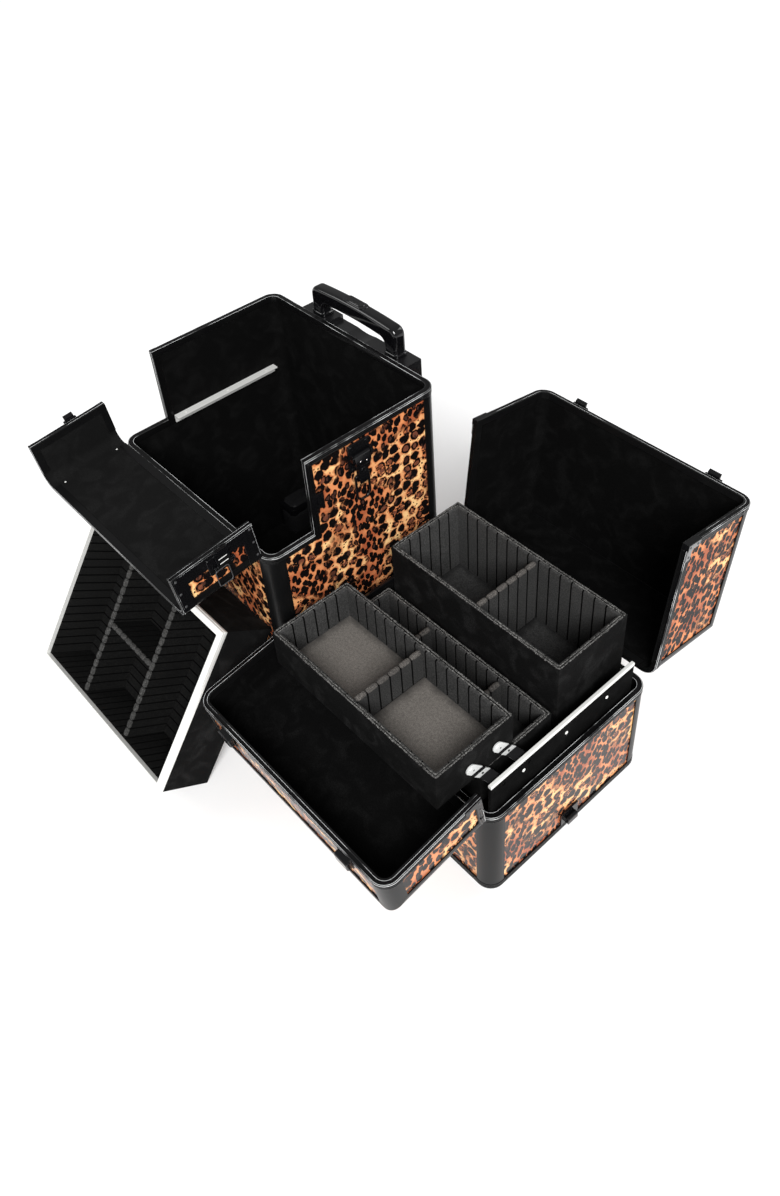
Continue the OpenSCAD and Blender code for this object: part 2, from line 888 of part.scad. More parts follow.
module lid_latch_plates() {
    color(black) lid_place() for (x = [-lid_latch_x, lid_latch_x]) translate([x, 0, 0]) {
        span([-17, lid_lever_y - 12, hood_top - board_in + gap],
             [17, lid_lever_y + 14, hood_top + 0.8]);
        for (s = [-1, 1]) difference() {
            translate([s * 14.8, lid_lever_y, 0]) {
                translate([-1.7, 0, lid_lever_z]) rotate([0, 90, 0]) cylinder(r = 3, h = 3.4);
                span([-1.7, -3, hood_top + 0.8], [1.7, 3, lid_lever_z]);
            }
            translate([s * 14.8 - 2, lid_lever_y, lid_lever_z])
                rotate([0, 90, 0]) cylinder(r = 1.2 + pin_play, h = 4);
        }
    }
}

module lid_lever(x) {
    translate([x, lid_lever_y, lid_lever_z]) {
        rotate([0, 90, 0]) {
            cylinder(r = 2.8, h = 25.6, center = true);
            cylinder(r = 1.2, h = 32, center = true);
        }
        span([-12.5, -26, -1.5], [12.5, 0, 2]);
        span([-8, -35, -1.5], [8, -26, 2]);
    }
}

module left_lid_latch() {
    color(black) lid_place() lid_lever(-lid_latch_x);
}

module right_lid_latch() {
    color(black) lid_place() lid_lever(lid_latch_x);
}

module top_flap_catches() {
    color(black) top_flap_place() for (x = [-lid_latch_x, lid_latch_x]) translate([x, split_y, 0]) {
        span([-11, -24, hood_top + gap], [11, -3, hood_top + 2]);
        span([-9, -14, hood_top + 2], [9, -10, hood_top + 6]);
    }
}

handle_y = 35;                  // pivots of the carry handle, lid closed
handle_z = hood_top + 8.5;
handle_reach = 34;
handle_half = 62;

module lid_handle_brackets() {
    color(black) lid_place() both_sides() difference() {
        union() {
            span([handle_half + 5, handle_y - 11, hood_top - board_in + gap],
                 [handle_half + 15, handle_y + 11, hood_top + 4]);
            translate([handle_half + 5, handle_y, handle_z])
                rotate([0, 90, 0]) cylinder(r = 7, h = 8);
            span([handle_half + 5, handle_y - 7, hood_top + 4],
                 [handle_half + 13, handle_y + 7, handle_z]);
        }
        translate([handle_half + 4, handle_y, handle_z])
            rotate([0, 90, 0]) cylinder(r = 3.05, h = 12);
    }
}

module lid_handle() {
    color(black) lid_place() translate([0, handle_y, handle_z]) rotate([lid_open - 90, 0, 0]) {
        translate([0, handle_reach, 0])
            rotate([0, 90, 0]) cylinder(r = 8, h = 2 * handle_half, center = true);
        both_sides() {
            translate([handle_half, handle_reach, 0]) sphere(r = 8);
            translate([handle_half, handle_reach, 0]) rotate([90, 0, 0])
                cylinder(r = 4.5, h = handle_reach);
            translate([handle_half, 0, 0]) sphere(r = 4.5);
            translate([handle_half, 0, 0]) rotate([0, 90, 0]) cylinder(r = 3, h = 13);
        }
    }
}

lower_floor_board();
lower_wall_boards();
lower_lining();
lower_corner_frame();
lower_rim_profiles();
tray_rails();
wheel_housings();
wheel_axles();
left_wheel();
right_wheel();
front_feet();
handle_housing();
handle_sleeves();
handle_middle_tubes();
handle_inner_tubes();
handle_grip();
release_button();
side_latch_plates();
left_side_lever();
left_side_loop();
right_side_lever();
right_side_loop();
lower_flap_catches();
lower_flap_boards();
lower_flap_frame();
lower_flap_latch_plates();
left_flap_latch();
right_flap_latch();
lift_tray_shell();
lift_tray_frame();
lift_tray_liner();
lift_tray_dividers();
upper_boards();
upper_lining();
upper_corner_frame();
upper_rim_profiles();
end_panels();
end_panel_strips();
upper_hasps();
lid_boards();
lid_frame();
lid_latch_plates();
left_lid_latch();
right_lid_latch();
lid_handle();
lid_handle_brackets();
top_flap_boards();
top_flap_frame();
top_flap_catches();
front_tray_shell();
front_tray_liner();
front_tray_divider();
middle_tray_shell();
middle_tray_liner();
middle_tray_dividers();
back_tray_shell();
back_tray_liner();
back_tray_divider();
front_swing_arms();
rear_swing_arms();
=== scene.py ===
import json
import math

import bmesh
import bpy
from mathutils import Matrix, Vector, noise


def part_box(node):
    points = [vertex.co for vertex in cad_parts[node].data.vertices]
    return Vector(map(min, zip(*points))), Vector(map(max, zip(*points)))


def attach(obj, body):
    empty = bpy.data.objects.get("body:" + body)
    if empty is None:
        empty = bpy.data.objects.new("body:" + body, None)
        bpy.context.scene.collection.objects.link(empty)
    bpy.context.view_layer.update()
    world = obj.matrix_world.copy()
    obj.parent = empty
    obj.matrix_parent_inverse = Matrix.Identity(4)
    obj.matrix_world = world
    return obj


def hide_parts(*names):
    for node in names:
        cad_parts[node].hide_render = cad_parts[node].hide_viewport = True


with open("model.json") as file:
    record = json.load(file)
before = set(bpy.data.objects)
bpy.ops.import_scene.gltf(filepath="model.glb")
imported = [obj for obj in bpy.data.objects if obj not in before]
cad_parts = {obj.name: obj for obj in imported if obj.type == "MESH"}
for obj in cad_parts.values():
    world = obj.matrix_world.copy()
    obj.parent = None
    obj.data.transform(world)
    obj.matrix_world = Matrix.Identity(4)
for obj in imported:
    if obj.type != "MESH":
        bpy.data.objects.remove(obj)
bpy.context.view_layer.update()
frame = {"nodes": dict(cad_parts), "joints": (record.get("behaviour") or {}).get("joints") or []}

nodes = frame["nodes"]
joints = {j["name"]: j for j in frame["joints"]}
MM = 0.001
SIDES = ((-1, "left"), (1, "right"))

# ---------- the frames that pieces are built in ----------
# Every piece is built in millimetres in its case's own frame, with the flaps and
# the lid closed: origin on the floor under the middle of the case. PLACE holds,
# for each body, the matrix from that frame to the row frame at rest.


def case_frame(node):
    low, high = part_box(node)
    middle = (low + high) / 2
    return Matrix.Translation((middle.x, middle.y, 0)) @ Matrix.Scale(MM, 4)


def swung_open(joint, case):
    """The case's frame turned with a flap or lid from closed to where it rests."""
    hinge = joints[joint]
    at = Vector(hinge["pos_m"])
    turn = Matrix.Rotation(-math.radians(hinge["range_deg"][1]), 4, Vector(hinge["axis"]))
    return Matrix.Translation(at) @ turn @ Matrix.Translation(-at) @ case


LOWER = case_frame("lower_corner_frame")
UPPER = case_frame("upper_corner_frame")

# ---------- sizes, as in the CAD, in millimetres ----------
HALF_W = 175                        # half of either case's width, along x
HALF_D = 145                        # half of its depth, along y
CORNER_R = 20
POST_T = 5.5                        # thickness of the corner extrusions
LEG = 4                             # flat leg of a corner extrusion past its round
RIM_W = 8                           # width of the edge profiles
RIM_H = 10                          # and their height
LOWER_H = 460                       # the lower case's top
FLAP_LINE = 343                     # its front half's top, where the flap starts
UPPER_H = 160                       # the upper case's top, where lid and flap start
HOOD_TOP = 305                      # the closed lid's top
SPLIT_Y = -73                       # where the front flaps meet the rest
GAP = 0.5                           # between a hinged half and what it closes on
UNDER = 22                          # the lower case's clearance from the floor
LINING_T = 1.7
LINING_AT = POST_T + 0.1            # a lining's outer face, in from the outside
LIFT_LEAN = math.radians(35.6)
LIFT_SIZE = Vector((332, 250, 85))

lift_y = -HALF_D - 1.5 - LIFT_SIZE.y * math.sin(LIFT_LEAN)
PLACE = {
    "lower_case": LOWER,
    "upper_case": UPPER,
    "lower_flap": swung_open("lower_flap_hinge", LOWER),
    "top_flap": swung_open("top_flap_hinge", UPPER),
    "lid": swung_open("lid_hinge", UPPER),
    "lift_tray": LOWER @ Matrix.Translation((-15 - LIFT_SIZE.x / 2, lift_y, 0))
    @ Matrix.Rotation(math.pi / 2 - LIFT_LEAN, 4, "X"),
}
for parent, children in {
    "upper_case": ("front_tray", "front_arms", "rear_arms"),
    "lower_case": ("left_wheel", "right_wheel", "handle_middle", "handle_top", "release_button",
                   "left_side_lever", "right_side_lever", "left_side_loop", "right_side_loop"),
    "lower_flap": ("left_flap_latch", "right_flap_latch"),
    "lid": ("left_lid_latch", "right_lid_latch", "lid_handle"),
}.items():
    for child in children:
        PLACE[child] = PLACE[parent]


# ---------- materials ----------
class Graph:
    """A principled material and short ways to add nodes to it."""

    def __init__(self, name, **inputs):
        self.mat = bpy.data.materials.new(name)
        self.mat.use_nodes = True
        self.tree = self.mat.node_tree
        self.bsdf = self.tree.nodes["Principled BSDF"]
        source = self.add("ShaderNodeTexCoord")
        self.coords = source.outputs["Object"]
        self.normals = source.outputs["Normal"]
        self.generated = source.outputs["Generated"]
        for key, value in inputs.items():
            self.bsdf.inputs[key.replace("_", " ")].default_value = value

    def add(self, kind, **settings):
        node = self.tree.nodes.new(kind)
        for key, value in settings.items():
            setattr(node, key, value)
        return node

    def put(self, socket, value):
        """Links an output to a socket, or sets the socket's own value."""
        if isinstance(value, bpy.types.NodeSocket):
            self.tree.links.new(value, socket)
        else:
            socket.default_value = value

    def math(self, operation, *values, kind="ShaderNodeMath"):
        node = self.add(kind, operation=operation)
        for socket, value in zip(node.inputs, values):
            self.put(socket, value)
        return node.outputs[0]

    def vector(self, operation, *values):
        return self.math(operation, *values, kind="ShaderNodeVectorMath")

    def times(self, a, b):
        return self.math("MULTIPLY", a, b)

    def scaled(self, value, factor, offset):
        """value * factor + offset"""
        return self.math("MULTIPLY_ADD", value, factor, offset)

    def noise(self, size_mm, detail=2.0, at=None, color=False, **inputs):
        node = self.add("ShaderNodeTexNoise")
        node.inputs["Scale"].default_value = 1 / (size_mm * MM)
        node.inputs["Detail"].default_value = detail
        for key, value in inputs.items():
            node.inputs[key].default_value = value
        self.put(node.inputs["Vector"], at or self.coords)
        return node.outputs["Color" if color else "Fac"]

    def step(self, value, low, high):
        """0 below low, 1 above high, smooth between."""
        node = self.add("ShaderNodeMapRange", interpolation_type="SMOOTHSTEP")
        for key, v in (("Value", value), ("From Min", low), ("From Max", high)):
            self.put(node.inputs[key], v)
        return node.outputs[0]

    def mix(self, factor, a, b):
        node = self.add("ShaderNodeMix", data_type="RGBA")
        self.put(node.inputs["Factor"], factor)
        self.put(node.inputs["A"], (*a, 1) if isinstance(a, tuple) else a)
        self.put(node.inputs["B"], (*b, 1) if isinstance(b, tuple) else b)
        return node.outputs["Result"]

    def stretched(self, x, y, z):
        return self.vector("MULTIPLY", self.coords, (x, y, z))

    def finish(self, color, rough, height=None, distance_mm=0.1, strength=1.0, round_mm=0):
        """Sets colour and roughness, with bumps from height and edges that look rounded."""
        self.put(self.bsdf.inputs["Base Color"], color)
        self.put(self.bsdf.inputs["Roughness"], rough)
        if height is not None:
            bump = self.add("ShaderNodeBump")
            for key, value in (("Strength", strength), ("Distance", distance_mm * MM),
                               ("Height", height)):
                self.put(bump.inputs[key], value)
            if round_mm:
                edge = self.add("ShaderNodeBevel", samples=4)
                edge.inputs["Radius"].default_value = round_mm * MM
                self.put(bump.inputs["Normal"], edge.outputs["Normal"])
            self.put(self.bsdf.inputs["Normal"], bump.outputs["Normal"])
        return self.mat


def panel_coords(g):
    """Flat coordinates on a panel, whichever way it faces: its two long directions."""
    at = g.add("ShaderNodeSeparateXYZ")
    g.put(at.inputs[0], g.coords)
    facing = g.add("ShaderNodeSeparateXYZ")
    g.put(facing.inputs[0], g.normals)
    ends = g.math("GREATER_THAN", g.math("ABSOLUTE", facing.outputs[0]), 0.7)
    fronts = g.math("GREATER_THAN", g.math("ABSOLUTE", facing.outputs[1]), 0.7)
    upright = g.math("MAXIMUM", ends, fronts)
    flat = g.add("ShaderNodeCombineXYZ")
    for socket, pick, yes, no in ((0, ends, "Y", "X"), (1, upright, "Z", "Y")):
        choice = g.add("ShaderNodeMix", data_type="FLOAT")
        for key, value in (("Factor", pick), ("A", at.outputs[no]), ("B", at.outputs[yes])):
            g.put(choice.inputs[key], value)
        g.put(flat.inputs[socket], choice.outputs["Result"])
    return flat.outputs[0]


def spots(g, at, size_mm, radius, ragged, shift):
    """Round-ish blobs, one to a cell; returns closeness to each centre and a tint per cell."""
    at = g.vector("ADD", at, (shift, shift * 0.7, 0))
    cell = g.add("ShaderNodeTexVoronoi", voronoi_dimensions="2D")
    cell.inputs["Scale"].default_value = 1 / (size_mm * MM)
    cell.inputs["Randomness"].default_value = 0.72
    g.put(cell.inputs["Vector"], at)
    edge = g.scaled(g.noise(size_mm * 0.33, 1, at), ragged, radius - ragged / 2)
    tint = g.add("ShaderNodeSeparateColor")
    g.put(tint.inputs[0], cell.outputs["Color"])
    size = g.scaled(tint.outputs["Green"], 0.12, -0.06)
    inside = g.math("SUBTRACT", g.math("ADD", edge, size), cell.outputs["Distance"])
    return inside, tint.outputs["Red"]


def print_material(name, coarse, gloss, shine):
    """Glossy laminate with an irregular cat print; a lower coarse gives more large spots."""
    g = Graph(name, Coat_Weight=gloss, Coat_Roughness=0.1, Specular_IOR_Level=shine)
    at = panel_coords(g)
    bend = g.vector("SUBTRACT", g.noise(14, 1, at, True), (0.5, 0.5, 0.5))
    at = g.vector("ADD", at, g.vector("MULTIPLY", bend, (0.0075, 0.0075, 0)))
    large = g.step(g.noise(95, 1, g.vector("ADD", at, (0.05, 0.02, 0))), coarse, coarse + 0.06)
    skewed = g.add("ShaderNodeMapping")
    skewed.inputs["Rotation"].default_value = (0, 0, 0.6)
    skewed.inputs["Scale"].default_value = (1.25, 0.82, 1)
    g.put(skewed.inputs["Vector"], at)
    small_in, small_tint = spots(g, skewed.outputs[0], 10.5, radius=0.49, ragged=0.30, shift=0.3)
    big_in, big_tint = spots(g, at, 15.5, radius=0.47, ragged=0.28, shift=0.1)
    fill_in, _ = spots(g, at, 7.0, radius=0.22, ragged=0.25, shift=0.7)
    # where it is black: broken rosettes and fillers in the coarse parts, small spots elsewhere
    gaps = g.step(g.noise(4.2, 1, at), 0.38, 0.44)
    broken = g.math("MAXIMUM", gaps, g.step(big_tint, 0.66, 0.62))
    rosettes = g.times(g.step(big_in, -0.01, 0.035), broken)
    fillers = g.times(g.step(fill_in, 0, 0.05), g.step(big_in, -0.10, -0.14))
    black = g.mix(large, g.step(small_in, -0.01, 0.04), g.math("MAXIMUM", rosettes, fillers))
    # the ground between them, redder close to a spot
    glow = g.noise(34, 2, at)
    warm = g.mix(g.step(glow, 0.36, 0.6), (0.70, 0.265, 0.105), (0.36, 0.095, 0.040))
    light = g.mix(g.step(glow, 0.40, 0.62), (0.93, 0.59, 0.26), (0.76, 0.34, 0.14))
    near = g.mix(large, g.times(g.step(small_in, -0.16, 0.0), 0.4),
                 g.times(g.step(big_in, -0.16, 0.0), 0.75))
    ground = g.mix(near, g.mix(large, warm, light), (0.42, 0.095, 0.03))
    # the spots themselves, some with a brown centre
    hollow = g.times(g.step(big_in, 0.2, 0.26), g.step(big_tint, 0.52, 0.56))
    centre = g.mix(g.noise(5), (0.26, 0.07, 0.028), (0.045, 0.03, 0.028))
    dark = g.mix(g.times(hollow, large), (0.0045, 0.0035, 0.0035), centre)
    brown = g.times(g.step(small_tint, 0.75, 0.8), g.step(small_in, 0.2, 0.3))
    dark = g.mix(brown, dark, (0.05, 0.022, 0.016))
    return g.finish(g.mix(black, ground, dark), 0.25, g.noise(70, 1), distance_mm=0.2, strength=0.2)


def profile_material(name, base, rough):
    """Black anodised extrusion with a faint drawn grain."""
    g = Graph(name, Specular_IOR_Level=0.2)
    grain = g.noise(1.2, 3, g.stretched(0.15, 0.15, 1))
    wear = g.step(g.noise(60, 2), 0.5, 0.8)
    color = g.mix(wear, (base, base, base * 1.04), (base * 1.5,) * 3)
    return g.finish(color, g.scaled(grain, 0.12, rough - 0.05), grain, distance_mm=0.02,
                    strength=0.25, round_mm=0.4)


def ridge_highlight_material():
    """The tops of ridges: black, with a painted highlight in patches along them, standing in for
    light caught on the edges.
    """
    g = Graph("ridge_painted_highlight", Specular_IOR_Level=0.7)
    highlight_patches = g.step(g.noise(46, 4), 0.41, 0.55)
    color = g.mix(highlight_patches, (0.03, 0.03, 0.032), (0.75, 0.76, 0.76))
    return g.finish(color, 0.22, g.noise(2, 2), distance_mm=0.01, strength=0.2)


def velvet_material(name, base, light):
    """Short-pile velvet: mottled where the nap lies differently."""
    g = Graph(name, Specular_IOR_Level=0.04)
    nap = g.step(g.noise(26, 5, Distortion=0.8), 0.42, 0.74)
    fine = g.step(g.noise(0.8, 2), 0.3, 0.7)
    color = g.mix(g.times(g.scaled(nap, 0.75, 0.25), fine), (base,) * 3, (light,) * 3)
    height = g.math("ADD", g.times(g.noise(12, 3), 1.5), fine)
    return g.finish(color, 0.9, height, distance_mm=0.25, strength=0.5)


def foam_material(name, base, light, nap_mm=1.6):
    """Flocked foam, with fibres that catch the light."""
    g = Graph(name, Specular_IOR_Level=0.08)
    color = g.mix(g.step(g.noise(nap_mm, 3), 0.35, 0.75), base, light)
    color = g.mix(g.times(g.step(g.noise(45, 2), 0.4, 0.7), 0.35), color, base)
    height = g.math("ADD", g.noise(0.6, 2), g.times(g.noise(6, 2), 1.2))
    return g.finish(color, 0.92, height, distance_mm=0.18, strength=0.5)


def pad_material(name, edge, base, light):
    """A tray's foam floor: grainy, and darker all round where the walls shade it."""
    g = Graph(name, Specular_IOR_Level=0.05)
    at = g.add("ShaderNodeSeparateXYZ")
    g.put(at.inputs[0], g.generated)
    across = [g.math("MINIMUM", v, g.math("SUBTRACT", 1, v)) for v in at.outputs[:2]]
    inward = g.math("ADD", g.math("MINIMUM", *across), g.scaled(g.noise(14, 3), 0.1, -0.05))
    grain = g.math("ADD", g.times(g.noise(0.9, 2), 0.7), g.times(g.noise(3.5, 3), 0.3))
    color = g.mix(g.step(grain, 0.35, 0.68), base, light)
    color = g.mix(g.step(inward, -0.03, 0.13), edge, color)
    return g.finish(color, 0.95, g.noise(0.8, 2), distance_mm=0.25, strength=0.6)


def metal_material(name, base, rough, metallic, streaks=0.12, shine=0.5):
    """Metal with fine drawn streaks in its colour and gloss."""
    g = Graph(name, Metallic=metallic, Specular_IOR_Level=shine)
    streak = g.noise(0.8, 3, g.stretched(0.04, 1, 1))
    color = g.mix(g.times(streak, streaks), base, tuple(c * 0.6 for c in base))
    return g.finish(color, g.scaled(streak, 0.12, rough - 0.06), streak, distance_mm=0.008,
                    strength=0.2, round_mm=0.3)


def plastic_material(name, base, rough, grain_mm=0.6):
    """Moulded plastic or rubber, a little dusty."""
    g = Graph(name, Specular_IOR_Level=0.5)
    dust = g.step(g.noise(18, 5), 0.62, 0.85)
    color = g.mix(g.times(dust, 0.4), base, tuple(c * 2 + 0.002 for c in base))
    rough = g.scaled(dust, 0.1, rough)
    return g.finish(color, rough, g.noise(grain_mm, 2), distance_mm=0.04, strength=0.3,
                    round_mm=0.5)


PRINT = print_material("spotted_print", 0.45, 0.2, 0.12)
FINE_PRINT = print_material("spotted_print_fine", 0.56, 0.0, 0.06)
PROFILE = profile_material("black_extrusion", 0.003, 0.22)
POST = profile_material("black_corner_extrusion", 0.004, 0.3)
VELVET = velvet_material("black_velvet", 0.0015, 0.0085)
FLAP_VELVET = velvet_material("flap_velvet", 0.005, 0.014)
SUEDE = velvet_material("black_suede", 0.003, 0.024)
FOAM = foam_material("dark_foam", (0.026, 0.026, 0.0255), (0.064, 0.063, 0.062))
# near-black foam for the faces inside the grooves: painted shade
GROOVE_SHADE = foam_material("groove_painted_shade", (0.0012,) * 3, (0.004,) * 3)
FOAM_BLACK = foam_material("black_foam", (0.0035,) * 3, (0.011, 0.011, 0.0105))
FOAM_FLOOR = pad_material("foam_floor", (0.045, 0.042, 0.039), (0.100, 0.091, 0.083),
                          (0.185, 0.17, 0.154))
FOAM_FLOOR_DARK = pad_material("foam_floor_dark", (0.012,) * 3, (0.026,) * 3, (0.062, 0.061, 0.060))
# lighter copies of the foams for the divider rolls: painted highlight on the dividers' tops
TOP_HIGHLIGHT_FOAM = foam_material("divider_top_painted_highlight", (0.045, 0.042, 0.040), (0.150, 0.138, 0.126), 1.5)
BLACK_TOP_HIGHLIGHT_FOAM = foam_material("black_divider_top_painted_highlight", (0.022, 0.022, 0.021), (0.085, 0.084, 0.082),
                               1.5)
LINT = foam_material("rim_lint", (0.010,) * 3, (0.24, 0.235, 0.225), 1.3)
SILVER = metal_material("bright_aluminium", (0.90, 0.90, 0.87), 0.34, 0.35)
ARM_STEEL = metal_material("arm_steel", (0.80, 0.81, 0.80), 0.42, 0.35)
STEEL = metal_material("stamped_steel", (0.92,) * 3, 0.3, 0.3, 0.04)
CHROME = metal_material("polished_tube", (0.72, 0.73, 0.75), 0.14, 1.0)
LATCH = metal_material("black_nickel", (0.004, 0.004, 0.0045), 0.13, 0.0, shine=0.35)
DOME = plastic_material("moulded_cover", (0.010, 0.010, 0.0105), 0.16, 6)
NICKEL = metal_material("dull_nickel", (0.22,) * 3, 0.3, 0.4)
PLATE_RIVET = metal_material("nickel_rivets", (0.06, 0.06, 0.062), 0.2, 0.3)
# bright strips along the ridge tops: painted highlight
RIDGE_HIGHLIGHT = ridge_highlight_material()
PLASTIC = plastic_material("black_plastic", (0.006, 0.006, 0.0065), 0.24)
GLOSS = plastic_material("gloss_black_plastic", (0.003, 0.003, 0.0035), 0.08, 6)
RUBBER = plastic_material("wheel_rubber", (0.012,) * 3, 0.6, 1.0)
BOARD = plastic_material("black_board", (0.005,) * 3, 0.6, 1.5)

NODE_MATERIALS = {
    PRINT: ("lower_wall_boards", "lower_flap_boards", "upper_boards", "top_flap_boards"),
    FINE_PRINT: ("lid_boards",),
    BOARD: ("lower_floor_board",),
    POST: ("lower_corner_frame", "upper_corner_frame", "lid_frame", "top_flap_frame",
           "lower_flap_frame"),
    PROFILE: ("lower_rim_profiles", "upper_rim_profiles"),
    VELVET: ("lower_lining", "upper_lining", "end_panels"),
    SUEDE: ("lift_tray_shell", "front_tray_shell", "middle_tray_shell", "back_tray_shell"),
    SILVER: ("tray_rails", "end_panel_strips"),
    CHROME: ("handle_middle_tubes", "handle_inner_tubes"),
    STEEL: ("wheel_axles",),
    LATCH: ("side_latch_plates", "lower_flap_catches", "lower_flap_latch_plates",
            "lid_latch_plates", "top_flap_catches", "upper_hasps", "handle_sleeves"),
    PLASTIC: ("front_feet", "handle_housing", "lid_handle_brackets"),
    GLOSS: ("wheel_housings",),
}
for material, names in NODE_MATERIALS.items():
    for name in names:
        nodes[name].data.materials.clear()
        nodes[name].data.materials.append(material)


# ---------- mesh helpers ----------
def arc_corners(points, radius, steps=8, closed=False):
    """An outline with each of its corners rounded; the ends of an open one stay."""
    result = []
    count = len(points)
    for i, point in enumerate(points):
        here = Vector(point)
        if not closed and i in (0, count - 1):
            result.append(here)
            continue
        before = (Vector(points[i - 1]) - here).normalized()
        after = (Vector(points[(i + 1) % count]) - here).normalized()
        half = before.angle(after) / 2
        reach = radius / math.tan(half)
        centre = here + (before + after).normalized() * radius / math.sin(half)
        start = here + before * reach - centre
        end = here + after * reach - centre
        turn = start.angle(end)
        for k in range(steps + 1):
            t = k / steps
            a, b = math.sin((1 - t) * turn), math.sin(t * turn)
            result.append(centre + (start * a + end * b) / math.sin(turn))
    return result


def rectangle(u0, u1, v0, v1):
    """Four corners, anticlockwise from the low one."""
    return (u0, v0), (u1, v0), (u1, v1), (u0, v1)


def dense(path, step=5.0, count=0):
    """The same path with points no further apart than step, or its long lines cut in count."""
    points = []
    for a, b in zip(path, path[1:]):
        length = (b - a).length
        parts = (count if length > 20 else 1) if count else max(1, int(length / step))
        points += [a + (b - a) * k / parts for k in range(parts)]
    return points + [path[-1]]


AXES = {"xy": (0, 1, 2), "xz": (0, 2, 1), "yz": (1, 2, 0)}
SAME_POINT = 0.0005                 # millimetres between points that are welded
ROUNDED_FROM = math.radians(40)     # the angle at which an edge gets a bevel
SHARP_FROM = math.radians(38)       # the angle at which shading breaks


def spot(plane, u, v, w):
    """A point from its two coordinates in a plane and its height above it."""
    result = [0, 0, 0]
    for axis, value in zip(AXES[plane], (u, v, w)):
        result[axis] = value
    return result


